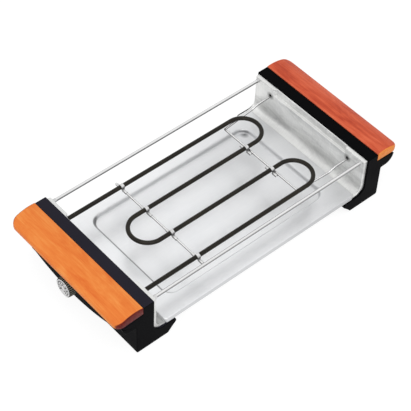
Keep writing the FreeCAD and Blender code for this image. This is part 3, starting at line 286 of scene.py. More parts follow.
class Finish:
    """A procedural material on object coordinates."""

    def __init__(self, name, **constants):
        self.material = bpy.data.materials.new(name)
        self.material.use_nodes = True
        self.tree = self.material.node_tree
        self.shader = self.tree.nodes["Principled BSDF"]
        for key, value in constants.items():
            self.shader.inputs[key.replace("_", " ")].default_value = value
        source = self.tree.nodes.new("ShaderNodeTexCoord")
        self.where, self.normal = source.outputs["Object"], source.outputs["Normal"]

    def feed(self, socket, value):
        """Give an input a number, a colour or another node's output."""
        if isinstance(value, (int, float)):
            socket.default_value = value
        elif isinstance(value, tuple):
            socket.default_value = (*value, 1)
        else:
            link(self.tree, value, socket)

    def maths(self, operation, *values):
        """One step of arithmetic on numbers or outputs."""
        node = self.tree.nodes.new("ShaderNodeMath")
        node.operation = operation
        for socket, value in zip(node.inputs, values):
            self.feed(socket, value)
        return node.outputs[0]

    def vector_maths(self, operation, vector, constant=(0, 0, 0)):
        """The node for one step of arithmetic on a vector."""
        node = self.tree.nodes.new("ShaderNodeVectorMath")
        node.operation = operation
        link(self.tree, vector, node.inputs[0])
        node.inputs[1].default_value = constant
        return node

    def part(self, vector, axis):
        """One axis of a vector."""
        node = self.tree.nodes.new("ShaderNodeSeparateXYZ")
        link(self.tree, vector, node.inputs[0])
        return node.outputs[axis]

    def stretch(self, x, y, z):
        """The object coordinates, scaled along each axis."""
        node = self.tree.nodes.new("ShaderNodeMapping")
        node.inputs["Scale"].default_value = (x, y, z)
        link(self.tree, self.where, node.inputs["Vector"])
        return node.outputs["Vector"]

    def noise(self, vector, scale=1.0, detail=3.0, rough=0.5, warp=0.0):
        """Cloudy noise from 0 to 1."""
        node = self.tree.nodes.new("ShaderNodeTexNoise")
        node.inputs["Scale"].default_value = scale
        node.inputs["Detail"].default_value = detail
        node.inputs["Roughness"].default_value = rough
        node.inputs["Distortion"].default_value = warp
        link(self.tree, vector, node.inputs["Vector"])
        return node.outputs["Fac"]

    def ramp(self, value, stops):
        """A value turned into colours by (place, colour or grey level) stops."""
        node = self.tree.nodes.new("ShaderNodeValToRGB")
        while len(node.color_ramp.elements) < len(stops):
            node.color_ramp.elements.new(0.5)
        for element, (place, colour) in zip(node.color_ramp.elements, stops):
            element.position = place
            shade = colour if isinstance(colour, tuple) else (colour, colour, colour)
            element.color = (*shade, 1)
        link(self.tree, value, node.inputs["Fac"])
        return node.outputs["Color"]

    def mix(self, how, factor, a, b):
        """Two colours blended, with b on top of a by factor."""
        node = self.tree.nodes.new("ShaderNodeMix")
        node.data_type = "RGBA"
        node.blend_type = how
        for index, value in ((0, factor), (6, a), (7, b)):
            self.feed(node.inputs[index], value)
        return node.outputs[2]

    def colour(self, value):
        """Set the base colour."""
        link(self.tree, value, self.shader.inputs["Base Color"])

    def rough(self, value):
        """Set the roughness."""
        link(self.tree, value, self.shader.inputs["Roughness"])

    def bump(self, *layers):
        """Stacked bumps, each (height, strength, distance in mm)."""
        normal = None
        for height, strength, distance in layers:
            node = self.tree.nodes.new("ShaderNodeBump")
            node.inputs["Strength"].default_value = strength
            node.inputs["Distance"].default_value = distance * MM
            link(self.tree, height, node.inputs["Height"])
            if normal:
                link(self.tree, normal, node.inputs["Normal"])
            normal = node.outputs["Normal"]
        link(self.tree, normal, self.shader.inputs["Normal"])

    def facing(self, axis):
        """How far the surface faces along an object axis either way, from 0 to 1."""
        return self.maths("ABSOLUTE", self.part(self.normal, axis))

    def toward(self, axis):
        """0 where the surface faces down an object axis, 0.5 across it, 1 where it faces up it."""
        return self.maths("MULTIPLY_ADD", self.part(self.normal, axis), 0.5, 0.5)

    def distance(self, spot, corners):
        """Metres from a point in millimetres, with corners also from its images across X and Y."""
        place = self.where
        if corners:
            place = self.vector_maths("ABSOLUTE", place).outputs["Vector"]
        return self.vector_maths("DISTANCE", place, Vector(spot) * MM).outputs["Value"]

    def between(self, axis, start, end):
        """0 to 1 as the place runs from start to end millimetres along an object axis."""
        node = self.tree.nodes.new("ShaderNodeMapRange")
        node.inputs["From Min"].default_value = start * MM
        node.inputs["From Max"].default_value = end * MM
        link(self.tree, self.part(self.where, axis), node.inputs["Value"])
        return node.outputs["Result"]


def plastic(name, dark, light, roughness, specular, grain=900, level_sheen=None):
    """Moulded plastic: a fine leather-like grain, faint flow marks and, if a sheen colour is given,
    a painted pale sheen on level faces.
    """
    f = Finish(name, Specular_IOR_Level=specular)
    broad = f.noise(f.where, 18, 4)
    fine = f.noise(f.where, grain, 3)
    shade = f.ramp(f.mix("MIX", 0.3, broad, fine), [(0.3, dark), (0.7, light)])
    # Painted reflection: level faces are painted a paler, bluish colour, as a sheen of reflected
    # light.
    if level_sheen:
        level = f.ramp(f.toward("Z"), [(0.93, 0.0), (0.99, 1.0)])
        sheen_colour = f.ramp(broad, [(0.3, tuple(c * 0.8 for c in level_sheen)), (0.7, level_sheen)])
        shade = f.mix("MIX", level, shade, sheen_colour)
    f.colour(shade)
    f.rough(f.ramp(broad, [(0.3, roughness - 0.07), (0.7, roughness + 0.08)]))
    f.bump((fine, 0.25, 0.08), (f.noise(f.where, 60, 2), 0.1, 0.05))
    return f.material


def metal(name, dark, light, low, high, along, streak, wobble=0.0, mottle=0.5, metallic=1.0,
          tints=()):
    """Sheet or bar metal: streaks, dull patches and a slight wobble.

    Its colours run from dark to light and its roughness from low to high. along sets how fine
    the streaks are on each axis. Each of tints gives (amount, colour), painted shade among them,
    and the base colour is multiplied by it.
    """
    f = Finish(name, Metallic=metallic)
    streaks = f.noise(f.stretch(*along), 1.0, 6, 0.65)
    patches = f.noise(f.where, 22, 5, 0.6, 0.4)
    colour = f.ramp(f.mix("MIX", mottle, streaks, patches), [(0.3, dark), (0.7, light)])
    # Most tints paint shade onto the base colour.
    for tint in tints:
        amount, shade = tint(f)
        colour = f.mix("MULTIPLY", amount, colour, shade)
    f.colour(colour)
    f.rough(f.ramp(f.mix("MIX", 0.45, streaks, patches), [(0.25, low), (0.75, high)]))
    layers = [(streaks, streak, 0.02)]
    if wobble:
        layers.append((f.noise(f.where, 11, 1, 0.4), wobble, 6.0))
    f.bump(*layers)
    return f.material


def by_side(axis, stops):
    """A painted shade by how the surface faces along an axis."""
    return lambda f: (1.0, f.ramp(f.toward(axis), stops))


def by_side_near_knob(axis, stops):
    """A painted shade by how the surface faces along an axis, at the knob's end of the object alone.
    """
    def tint(f):
        near = f.ramp(f.between("X", -130, -110), [(0.0, 1.0), (1.0, 0.0)])
        return near, f.ramp(f.toward(axis), stops)
    return tint


def dulled(left):
    """A painted shade that falls to left towards the end away from the knob."""
    return lambda f: (1.0, f.ramp(f.between("X", -20, 150), [(0.0, 1.0), (1.0, left)]))


def smeared(strength):
    """Level smears, faint on faces that lie flat."""
    def tint(f):
        smear = f.noise(f.stretch(20, 16, 55), 1.0, 5, 0.62, 0.6)
        upright = f.ramp(f.facing("Z"), [(0.5, 1.0), (0.98, 0.15)])
        return upright, f.ramp(smear, [(0.36, 1.0 - strength), (0.60, 1.0)])
    return tint


def burnt(spot, radius, darkest, corners=False):
    """A painted shadow: a dark spot round a point, or round its images in all four corners."""
    def tint(f):
        stops = [(radius * 0.37 * MM, darkest), (radius * 0.65 * MM, (1 + darkest) / 2),
                 (radius * MM, 1.0)]
        return 1.0, f.ramp(f.distance(spot, corners), stops)
    return tint


def timber(name, pale, middle, deep, end_pale, end_deep, edge_highlight):
    """Stained wood with its grain along Y, end grain of another tone, which also carries painted
    light and shade, and a satin varnish.

    The last argument paints a pale highlight along the inner edge, by how the surface faces along X.
    """
    f = Finish(name, Coat_Weight=0.05, Coat_Roughness=0.3, Specular_IOR_Level=0.12)
    long_way = f.stretch(1, 0.05, 1)
    cloud = f.noise(f.stretch(1, 0.30, 1), 46, 4, 0.6, 0.8)
    bands = f.noise(long_way, 210, 5, 0.6, 0.8)
    hairs = f.noise(long_way, 1100, 3, 0.6)
    body = f.mix("MIX", 0.40, cloud, bands)
    body = f.mix("MIX", 0.18, body, hairs)
    stain = f.ramp(body, [(0.38, deep), (0.5, middle), (0.61, pale)])
    ends = f.noise(f.where, 240, 5, 0.6, 1.2)
    cut = f.ramp(ends, [(0.35, end_deep), (0.65, end_pale)])
    # Painted highlight: a pale pink line along the grip's inner edge.
    highlight_mask = f.ramp(f.toward("X"), edge_highlight)
    stain = f.mix("MIX", highlight_mask, stain, (0.92, 0.46, 0.30))
    mask = f.ramp(f.facing("Y"), [(0.30, 0.0), (0.55, 1.0)])
    f.colour(f.mix("MIX", mask, stain, cut))
    f.rough(f.ramp(bands, [(0.3, 0.42), (0.7, 0.56)]))
    f.bump((hairs, 0.12, 0.05), (bands, 0.12, 0.12))
    return f.material


BLACK = plastic("black_moulding", (0.0014, 0.0014, 0.0017), (0.0032, 0.0032, 0.004), 0.55, 0.02)
# The left cap's moulding, with a painted bluish sheen of reflected light on its level faces.
SHEENED_BLACK = plastic("sheened_moulding", (0.0014, 0.0014, 0.0017), (0.0032, 0.0032, 0.004),
                      0.55, 0.02, level_sheen=(0.026, 0.024, 0.034))
# The dark spots round the liner's four heater holes are painted shade, standing in for the holes and
# the shadow of the wire hooks in them.
STEEL = metal("bright_sheet", (0.70, 0.70, 0.69), (0.93, 0.93, 0.91), 0.30, 0.42, (60, 900, 60),
              0.1, 0.03, metallic=0.6,
              tints=[smeared(0.29), burnt((LINER_FACE, RUN, HOLE_Z), 6.5, 0.10, corners=True)])
# The tray's tints are painted shade: darker on faces turned towards -X and -Y, a dark line down the
# pan's wall at the knob's end, darker towards the far end, and a painted shadow in the pan's back
# right corner.
TRAY_STEEL = metal("tray_sheet", (0.87, 0.88, 0.895), (0.95, 0.955, 0.965), 0.31, 0.44,
                   (30, 500, 30), 0.08, 0.02, 0.6, 0.88,
                   tints=[by_side("X", [(0.06, 0.70), (0.38, 1.0)]),
                          by_side("Y", [(0.06, 0.70), (0.4, 1.0)]),
                          by_side_near_knob("X", [(0.55, 1.0), (0.70, 0.30)]),
                          dulled(0.84), burnt((140.0, 78.0, 25.0), 6.0, 0.30)])
# Painted shade along the sides of round bars and wires, which draws them with a dark outline.
SHADED_OUTLINE = [(0.08, 0.34), (0.17, 1.0), (0.60, 1.0), (0.84, 0.34)]
ROUND_SHADE = [by_side("Y", SHADED_OUTLINE), by_side("X", SHADED_OUTLINE)]
ROD_STEEL = metal("bright_bar", 0.70, 0.88, 0.16, 0.28, (25, 2500, 2500), 0.3, tints=ROUND_SHADE)
WIRE_STEEL = metal("drawn_wire", 0.70, 0.88, 0.20, 0.34, (300, 300, 300), 0.3, tints=ROUND_SHADE)
# Painted shade: the clips' strip is darker on every face but those turned up.
CLIP_STEEL = metal("cut_strip", 0.50, 0.90, 0.24, 0.42, (400, 60, 400), 0.3,
                   tints=[by_side("Z", [(0.55, 0.16), (0.86, 1.0)])])
SCREW_STEEL = metal("plated_screw", 0.38, 0.62, 0.25, 0.45, (500, 500, 500), 0.4)
COLLAR_STEEL = metal("turned_steel", 0.50, 0.76, 0.28, 0.45, (500, 500, 500), 0.3)
BRASS = metal("plain_brass", (0.50, 0.36, 0.12), (0.72, 0.54, 0.22), 0.25, 0.42,
              (500, 60, 500), 0.3)
DIAL = metal("spun_dial", 0.42, 0.80, 0.24, 0.36, (900, 900, 900), 0.3, mottle=0.2)
RUBBER = plastic("matt_rubber", (0.010, 0.010, 0.010), (0.022, 0.022, 0.022), 0.75, 0.3, 600)
MARK_BLACK = plastic("mark_print", (0.004, 0.004, 0.004), (0.008, 0.008, 0.008), 0.5, 0.08)
CERAMIC = plastic("glazed_ceramic", (0.60, 0.57, 0.50), (0.78, 0.75, 0.68), 0.4, 0.5, 400)
PHENOLIC = plastic("brown_moulding", (0.035, 0.018, 0.010), (0.07, 0.04, 0.022), 0.4, 0.4)
LEADS = {
    "lead_brown": plastic("brown_lead", (0.10, 0.035, 0.015), (0.16, 0.06, 0.025), 0.5, 0.4),
    "lead_blue": plastic("blue_lead", (0.02, 0.05, 0.25), (0.03, 0.08, 0.36), 0.5, 0.4),
    "lead_green": plastic("green_lead", (0.03, 0.18, 0.03), (0.08, 0.30, 0.05), 0.5, 0.4),
    "lead_white": plastic("woven_lead", (0.55, 0.53, 0.48), (0.75, 0.73, 0.68), 0.7, 0.3, 1500),
}
# Two copies of one wood: the left grip's end grain is painted near black as shade, the right grip's
# end grain pale as a lit face, and the right grip's top is darker.
LEFT_WOOD = timber("left_stained_wood", (0.95, 0.335, 0.078), (0.88, 0.240, 0.045),
                   (0.79, 0.165, 0.026), (0.19, 0.014, 0.008), (0.08, 0.005, 0.004),
                   [(0.78, 0.0), (0.86, 0.6), (0.96, 0.0)])
RIGHT_WOOD = timber("right_stained_wood", (0.82, 0.165, 0.074), (0.70, 0.112, 0.046),
                    (0.52, 0.064, 0.026), (1.00, 0.36, 0.075), (0.86, 0.22, 0.035),
                    [(0.04, 0.0), (0.14, 0.6), (0.22, 0.0)])


def oxide():
    """The heater sheath: oxidised, olive black, slightly speckled with heat."""
    f = Finish("oxidised_sheath", Metallic=0.0, Specular_IOR_Level=0.22)
    patch = f.noise(f.where, 35, 5, 0.6, 0.5)
    speck = f.noise(f.where, 900, 2)
    shade = f.mix("MIX", 0.35, patch, speck)
    f.colour(f.ramp(shade, [(0.32, (0.006, 0.005, 0.003)), (0.52, (0.013, 0.010, 0.006)),
                            (0.72, (0.026, 0.021, 0.012))]))
    f.rough(f.ramp(patch, [(0.3, 0.28), (0.7, 0.42)]))
    f.bump((speck, 0.25, 0.05))
    return f.material


SHEATH = oxide()


def knob_finish():
    """The knob's black moulding, with a painted pale highlight along the crests of its ribs."""
    f = Finish("ribbed_moulding", Specular_IOR_Level=0.08)
    broad = f.noise(f.where, 60, 4)
    black = f.ramp(broad, [(0.3, (0.003, 0.003, 0.0035)), (0.7, (0.007, 0.007, 0.008))])
    height = f.maths("SUBTRACT", f.part(f.where, "Z"), KNOB_Z * MM)
    angle = f.maths("ARCTAN2", height, f.part(f.where, "Y"))
    wave = f.maths("COSINE", f.maths("MULTIPLY", angle, KNOB_RIBS))
    crest_highlight = f.ramp(wave, [(0.0, 1.0), (0.25, 0.0)])
    side = f.ramp(f.facing("X"), [(0.3, 1.0), (0.6, 0.0)])
    # Painted highlight: the rib crests on the knob's side are painted pale grey.
    f.colour(f.mix("MIX", f.mix("MULTIPLY", 1.0, crest_highlight, side), black, (0.20, 0.20, 0.17)))
    f.rough(f.ramp(broad, [(0.3, 0.28), (0.7, 0.40)]))
    f.bump((f.noise(f.where, 900, 3), 0.2, 0.05))
    return f.material


KNOB_BLACK = knob_finish()

BY_SLOT = {
    "black_plastic": BLACK, "wood": LEFT_WOOD, "bright_steel": STEEL, "tray_steel": TRAY_STEEL,
    "rod_steel": ROD_STEEL, "sheath": SHEATH, "wire_steel": WIRE_STEEL, "clip_steel": CLIP_STEEL,
    "screw_steel": SCREW_STEEL, "collar_steel": COLLAR_STEEL, "ceramic": CERAMIC,
    "phenolic": PHENOLIC, "brass": BRASS, "rubber": RUBBER, "knob_plastic": KNOB_BLACK,
    "dial_metal": DIAL, **LEADS,
}
for part in frame["record"]["subparts"]:
    node = frame["nodes"][part["node"]]
    for holder in node.material_slots:
        holder.material = BY_SLOT[part["material_slot"]]


# ---- end caps ----------------------------------------------------------------------------
def cap_outline():
    """The cap's outline in X and Z, anticlockwise, with its moulded corner radii."""
    return [
        (FOOT_INNER, CAP_BASE, 1.5), (CAP_OUTER, CAP_BASE, 2.8), (CAP_OUTER, BULGE_BOTTOM, 0.8),
        (BULGE_OUTER, BULGE_BOTTOM, 15.3), (BULGE_OUTER, SEAT_OUTER_Z, 1.0),
        (STRIP_OUTER, SEAT_INNER_Z, 0), (STRIP_OUTER, STRIP_TOP, 1.0),
        (CAP_INNER + 0.2, STRIP_TOP, 1.0), (CAP_INNER + 0.2, LINER_TOP_Z + 0.05, 0),
        (CAP_INNER, LINER_TOP_Z + 0.05, 0), (CAP_INNER, LINER_FLOOR - SHEET, CAP_CURVE),
        (FOOT_TIP, LINER_FLOOR - SHEET, 4.5), (FOOT_TIP, 16.5, 1.5),
        (FOOT_INNER - 5.5, CAP_BASE + 6.5, 3.0),
    ]


def cap_hollow():
    """The space inside the cap, a wall's thickness in from its outline."""
    w = CAP_WALL
    slope = (SEAT_INNER_Z - SEAT_OUTER_Z) / (BULGE_OUTER - STRIP_OUTER)
    under_seat = SEAT_OUTER_Z - w - slope * w
    under_liner = LINER_FLOOR - SHEET - w
    return [
        (FOOT_INNER + 1.8, CAP_BASE - 1, 0), (CAP_OUTER - w, CAP_BASE - 1, 0),
        (CAP_OUTER - w, BULGE_BOTTOM + w, 0), (BULGE_OUTER - w, BULGE_BOTTOM + w, 12.8),
        (BULGE_OUTER - w, under_seat, 0), (STRIP_OUTER - w, SEAT_INNER_Z - w, 0),
        (STRIP_OUTER - w, STRIP_TOP - w, 0), (CAP_INNER + w + 0.2, STRIP_TOP - w, 0),
        (CAP_INNER + w, under_liner, CAP_CURVE + w), (FOOT_TIP + w, under_liner, 2),
        (FOOT_TIP + w, 17.5, 0), (FOOT_INNER - 4.0, CAP_BASE + 7.4, 0),
    ]


def boss_outline():
    """The boss's face in Y and Z: level along its top, an arc along its bottom."""
    steps = 24
    sag = BOSS_SIDE_Z - BOSS_BOTTOM_Z
    radius = (BOSS_HALF ** 2 + sag ** 2) / (2 * sag)
    reach = math.asin(BOSS_HALF / radius)
    top = SEAT_OUTER_Z - 0.6
    corners = [(BOSS_HALF, top, 0), (-BOSS_HALF, top, 0)]
    for k in range(steps + 1):
        a = reach * (2 * k / steps - 1)
        corner = BOSS_CORNER if k in (0, steps) else 0
        corners.append((radius * math.sin(a), BOSS_BOTTOM_Z + radius * (1 - math.cos(a)), corner))
    return rounded(corners)


def add_boss(piece, hollow):
    """Join the boss to the left cap, sink the knob's pocket and widen the hollow into it."""
    outline = boss_outline()
    rings = [[(rise - BOSS_FACE, p.x, p.y) for p in inset(outline, inward)]
             for inward, rise in quarter(BOSS_ROUND, 5)]
    rings.append([(1.2 - CAP_OUTER, p.x, p.y) for p in outline])
    combine(piece, tool(*loft(rings)), "UNION", 30)
    pocket = drum((-BOSS_FACE, 0, KNOB_Z), (-1, 0, 0), POCKET_R, 12, 72)
    combine(piece, tool(*pocket), "DIFFERENCE", 30)
    rings = [[(x, p.x, min(p.y, BOSS_CEILING)) for p in inset(outline, CAP_WALL)]
             for x in (CAP_WALL - BOSS_FACE, 4 - CAP_OUTER)]
    combine(hollow, tool(*loft(rings)), "UNION")


def cap(name, node, side):
    """A hollow end cap; side is 1 for the right and -1 for the left, which has the boss."""
    def place(x, z, y):
        return (x * side, y, z)
    # The left cap's moulding carries the painted sheen on its level faces.
    finish = BLACK if side > 0 else SHEENED_BLACK
    solid = slab(rounded(cap_outline()), -HALF_DEPTH, HALF_DEPTH, CAP_EDGE, place)
    piece = make(name, *solid, finish, "roaster", "black_plastic", 30)
    hollow = tool(*loft([[place(p.x, p.y, y) for p in rounded(cap_hollow())]
                         for y in (CAP_WALL - HALF_DEPTH, HALF_DEPTH - CAP_WALL)]))
    if side < 0:
        add_boss(piece, hollow)
    combine(piece, hollow, "DIFFERENCE", 30)
    if side < 0:
        for centre, radius in (((4 - BOSS_FACE, 0, KNOB_Z), SHAFT_BORE_R),
                               ((4 - CAP_OUTER, CORD_Y, CORD_Z), CORD_BORE_R)):
            combine(piece, tool(*drum(centre, (-1, 0, 0), radius, 12)), "DIFFERENCE", 30)
    even = piece.modifiers.new("even", "WEIGHTED_NORMAL")
    even.keep_sharp = True
    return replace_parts(piece, node)


cap("right_cap_shell", "right_end_cap", 1)
cap("left_cap_shell", "left_end_cap", -1)


# ---- wooden grips ------------------------------------------------------------------------
def through(a, b, c):
    """Centre and radius of the circle through three (x, z) points."""
    (ax, ay), (bx, by), (cx, cy) = a, b, c
    d = 2 * (ax * (by - cy) + bx * (cy - ay) + cx * (ay - by))
    ux = ((ax * ax + ay * ay) * (by - cy) + (bx * bx + by * by) * (cy - ay)
          + (cx * cx + cy * cy) * (ay - by)) / d
    uy = ((ax * ax + ay * ay) * (cx - bx) + (bx * bx + by * by) * (ax - cx)
          + (cx * cx + cy * cy) * (bx - ax)) / d
    return ux, uy, math.hypot(ax - ux, ay - uy)


CROWN_X, CROWN_Z, CROWN_R = through(
    (GRIP_IN, CROWN_INNER_Z), ((GRIP_IN + HALF_LENGTH) / 2, CROWN_MIDDLE_Z),
    (HALF_LENGTH, CROWN_OUTER_Z))


def crown_z(x):
    """The height of the grip's crown."""
    return CROWN_Z + math.sqrt(CROWN_R ** 2 - (x - CROWN_X) ** 2)


def seat_z(x):
    """The height of the grip's underside, just above the cap's sloping seat."""
    slope = (SEAT_INNER_Z - SEAT_OUTER_Z) / (BULGE_OUTER - STRIP_OUTER)
    return SEAT_INNER_Z + SEAT_GAP - (x - GRIP_IN) * slope


def grip_ring(inward, fall, rounding):
    """The grip's plan partway round a rim, as (x, y, fall); its inner edge is rounded less."""
    inner = GRIP_IN + GRIP_STEP * inward / rounding
    outer, end = HALF_LENGTH - inward, HALF_DEPTH - inward
    corner = GRIP_CORNER - inward
    plan = rounded([(inner, -end, 0), (outer, -end, corner), (outer, end, corner),
                    (inner, end, 0)], 12)
    return [(p.x, p.y, fall * (GRIP_STEP / rounding if p.x < inner + 0.1 else 1)) for p in plan]


def grip(name, node, side, material):
    """A flat slab with rounded rims, cut into strips and bent to the seat and the crown."""
    half, strips = 10, 18
    rings = [[(x, y, fall - half) for x, y, fall in grip_ring(inward, rise, GRIP_UNDER)]
             for inward, rise in quarter(GRIP_UNDER, 5)]
    rings += [[(x, y, half - fall) for x, y, fall in grip_ring(inward, drop, GRIP_OVER)]
              for inward, drop in reversed(quarter(GRIP_OVER, 5))]
    work = bmesh.new()
    points, faces = loft(rings)
    verts = [work.verts.new(p) for p in points]
    for face in faces:
        work.faces.new([verts[i] for i in face])
    for k in range(1, strips):
        x = GRIP_IN + (HALF_LENGTH - GRIP_IN) * k / strips
        every = list(work.verts) + list(work.edges) + list(work.faces)
        bmesh.ops.bisect_plane(work, geom=every, plane_co=(x, 0, 0), plane_no=(1, 0, 0))
    for v in work.verts:
        x, y, z = v.co
        v.co = (x * side, y, crown_z(x) + z - half if z > 0 else seat_z(x) + z + half)
    work.verts.index_update()
    points = [v.co.copy() for v in work.verts]
    faces = [tuple(v.index for v in f.verts) for f in work.faces]
    work.free()
    piece = make(name, points, faces, material, "roaster", "wood", 40)
    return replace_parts(piece, node)


grip("left_grip_wood", "left_wood_grip", -1, LEFT_WOOD)
grip("right_grip_wood", "right_wood_grip", 1, RIGHT_WOOD)


# ---- liner ---------------------------------------------------------------------------------
def ease(value):
    """A soft step from 0 to 1."""
    value = max(0.0, min(1.0, value))
    return value * value * (3 - 2 * value)


def turned_reach(a):
    """How far a turned-out edge reaches past the bend towards the cap, as a share of the most."""
    across = LINER_FACE - LINER_BEND - (CAP_INNER - CAP_CURVE)
    down = LINER_BEND + SHEET - CAP_CURVE
    along = across * math.sin(a) - down * math.cos(a)
    radius = RETURN_REACH - CAP_INNER + CAP_CURVE
    far = math.sqrt(along ** 2 - across ** 2 - down ** 2 + radius ** 2) - along
    return max(0.0, far - LINER_BEND) / (RETURN_REACH - LINER_FACE) * ease(math.degrees(a) / 8 - 2)


def liner_station(y, ledge, out):
    """The liner's inner face across one station; ledge and out push the panels outward."""
    half = [(x, LINER_FLOOR) for x in (0, 30, 60, 90, 120, 150, 175)]
    centre = (LINER_FACE - LINER_BEND, LINER_FLOOR + LINER_BEND)
    for k in range(19):
        a = math.pi / 2 * k / 18
        r = LINER_BEND + out * turned_reach(a)
        half.append((centre[0] + r * math.sin(a), centre[1] - r * math.cos(a)))
    for z in (48, 56, 64, 70, 73, 75):
        half.append((LINER_FACE + out, z))
    depth = LEDGE_FACE - LINER_FACE
    for share, z in ((0.0, 75.8), (0.03, 76.3), (0.12, 76.8), (0.3, 77.0), (0.8, 77.05),
                     (0.93, 77.3), (0.99, 77.8), (1.0, 78.6), (1.0, 82.0)):
        half.append((LINER_FACE + out + depth * share * ledge, z))
    face = LINER_FACE + out + depth * ledge
    half += [(face + gone, LINER_TOP_Z - left) for left, gone in quarter(FLANGE_BEND, 4)]
    half.append((FLANGE_X, LINER_TOP_Z))
    whole = [(-x, z) for x, z in reversed(half[1:])] + half
    return [(x, y, z) for x, z in whole]


def liner():
    """The bright sheet: floor, bent-up ends with pressed ledges, and turned-out end edges."""
    edge = LINER_HALF_Y
    turned = [(edge, RETURN_REACH - LINER_FACE), (edge - 0.04, 2.4), (edge - 0.09, 1.2),
              (edge - 0.22, 0.6), (edge - 0.55, 0.15), (edge - 1.2, 0.0)]
    blend = [(LEDGE_HALF + 2.0 - 4.0 * k / 6, k / 6) for k in range(7)]
    rows = [(y, 0, out) for y, out in turned] + [(y, 0, 0) for y in (112, 106, 98, 90, 84)]
    rows += [(y, ease(share), 0) for y, share in blend] + [(60, 1, 0), (40, 1, 0), (20, 1, 0)]
    stations = [liner_station(-y, ledge, out) for y, ledge, out in rows]
    stations.append(liner_station(0, 1, 0))
    stations += [liner_station(y, ledge, out) for y, ledge, out in reversed(rows)]
    piece = make("liner_sheet", *loft(stations, False, False), STEEL, "roaster",
                 "bright_steel", 40)
    if sum(p.normal.z for p in piece.data.polygons if abs(p.center.x) < 0.15) < 0:
        piece.data.flip_normals()
    thicken(piece, SHEET, True)
    for y in (-RUN, RUN):
        hole = drum((LINER_FACE - 3, y, HOLE_Z), (1, 0, 0), HOLE_R, 8, 32)
        combine(piece, tool(*hole), "DIFFERENCE", 40)
    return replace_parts(piece, "liner")


liner()


# ---- drip tray -----------------------------------------------------------------------------
def oblong(half_x, half_y, radius, z, middle=0.0):
    """A level loop: a rectangle with rounded corners, its middle at a given Y."""
    steps = 8
    out = []
    for cx, cy, start in ((1, 1, 0), (-1, 1, 90), (-1, -1, 180), (1, -1, 270)):
        for k in range(steps + 1):
            a = math.radians(start + 90 * k / steps)
            out.append(((half_x - radius) * cx + radius * math.cos(a),
                        middle + (half_y - radius) * cy + radius * math.sin(a), z))
    return out


def rim_loop(inward, z):
    """A loop inside the tray's outer edge."""
    return oblong(RIM_X - inward, RIM_Y - inward, RIM_CORNER - inward, z, RIM_MIDDLE)


def pan_loop(outward, z):
    """A loop outside the pan's wall, or inside it where outward is negative."""
    return oblong(PAN_X + outward, PAN_Y + outward, PAN_CORNER + outward, z)


def tray():
    """A pressing with turned-down edges, a flat rim and a pan.

    A loop half a millimetre beside each bend keeps the flats shading flat.
    """
    rings = [rim_loop(0, RIM_LOW)]
    rings += [rim_loop(gone, RIM_Z - left) for left, gone in quarter(RIM_EDGE, 4)]
    rings += [rim_loop(RIM_EDGE + 0.5, RIM_Z), pan_loop(PAN_EDGE + 0.5, RIM_Z)]
    rings += [pan_loop(gone, RIM_Z - left) for left, gone in reversed(quarter(PAN_EDGE, 4))]
    rings += [pan_loop(-gone, PAN_FLOOR + left) for left, gone in quarter(PAN_ROUND, 5)]
    rings.append(pan_loop(-PAN_ROUND - 0.5, PAN_FLOOR))
    rings.append(oblong(PAN_X - 22, PAN_Y - 22, 8, PAN_FLOOR))
    points, faces = loft(rings, False)
    count = len(rings[0])
    faces.append(tuple(range(len(points) - count, len(points))))
    piece = make("tray_pressing", points, faces, TRAY_STEEL, "tray", "tray_steel", 40)
    if piece.data.polygons[-1].normal.z < 0:
        piece.data.flip_normals()
    thicken(piece, TRAY_SHEET, False)
    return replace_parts(piece, "drip_tray")


tray()


# ---- heater and wires ------------------------------------------------------------------------
def heater():
    """One sheathed tube: four runs joined by three half turns."""
    half_turn = RUN / 3
    path = [Vector((s - SHEATH_END, RUN, HEATER_Z)) for s in (0, 60, 120, 180, 240)]
    for i, (x, way) in enumerate(((BEND_X, 1), (-BEND_X, -1), (BEND_X, 1))):
        y = RUN - half_turn * (2 * i + 1)
        for k in range(25):
            a = math.pi * k / 24
            path.append(Vector((x + way * half_turn * math.sin(a), y + half_turn * math.cos(a),
                                HEATER_Z)))
    path += [Vector((x, -RUN, HEATER_Z)) for x in (50, -20, -90, -150, -SHEATH_END)]
    piece = make("heater_tube", *tube(path, SHEATH_R, 28, 0.4), SHEATH, "roaster", "sheath")
    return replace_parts(piece, "heater_element")


heater()

spacer = [Vector((SPACER_X, y, WIRE_Z)) for y in (-SPACER_HALF, -50, 0, 50, SPACER_HALF)]
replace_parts(make("spacer_bar", *tube(spacer, WIRE_R, 16, 0.35), WIRE_STEEL, "roaster",
                 "wire_steel"), "spacer_wire")
half_frame = [(194.5, RUN, 65.0), (194.5, RUN, 71.0), (165.0, RUN, 71.0),
              (157.0, RUN, WIRE_Z), (FRAME_X, RUN, WIRE_Z)]
other_half = [(x, -y, z) for x, y, z in reversed(half_frame)]
bent = route(half_frame + other_half, [1.9, 3, 3, 5, 5, 3, 3, 1.9], 6)
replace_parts(make("frame_bar", *tube(bent, WIRE_R, 16, 0.35), WIRE_STEEL, "roaster",
                 "wire_steel"), "support_frame")


def clip_hoop(x, y):
    """The strip's arch over the sheath, with its two legs."""
    inner = SHEATH_R + CLIP_GAP
    low = WIRE_Z + WIRE_R + CLIP_GAP + 0.2

    def line(radius):
        arch = [(radius * math.cos(a), HEATER_Z + radius * math.sin(a))
                for a in (math.pi * (1 - k / 16) for k in range(17))]
        return [(-radius, low)] + arch + [(radius, low)]
    loop = line(inner) + line(inner + CLIP_THICK)[::-1]
    edge = CLIP_HALF - 0.12
    return loft([[(x + s, y + u, w) for u, w in loop] for s in (-CLIP_HALF, -edge, edge, CLIP_HALF)])


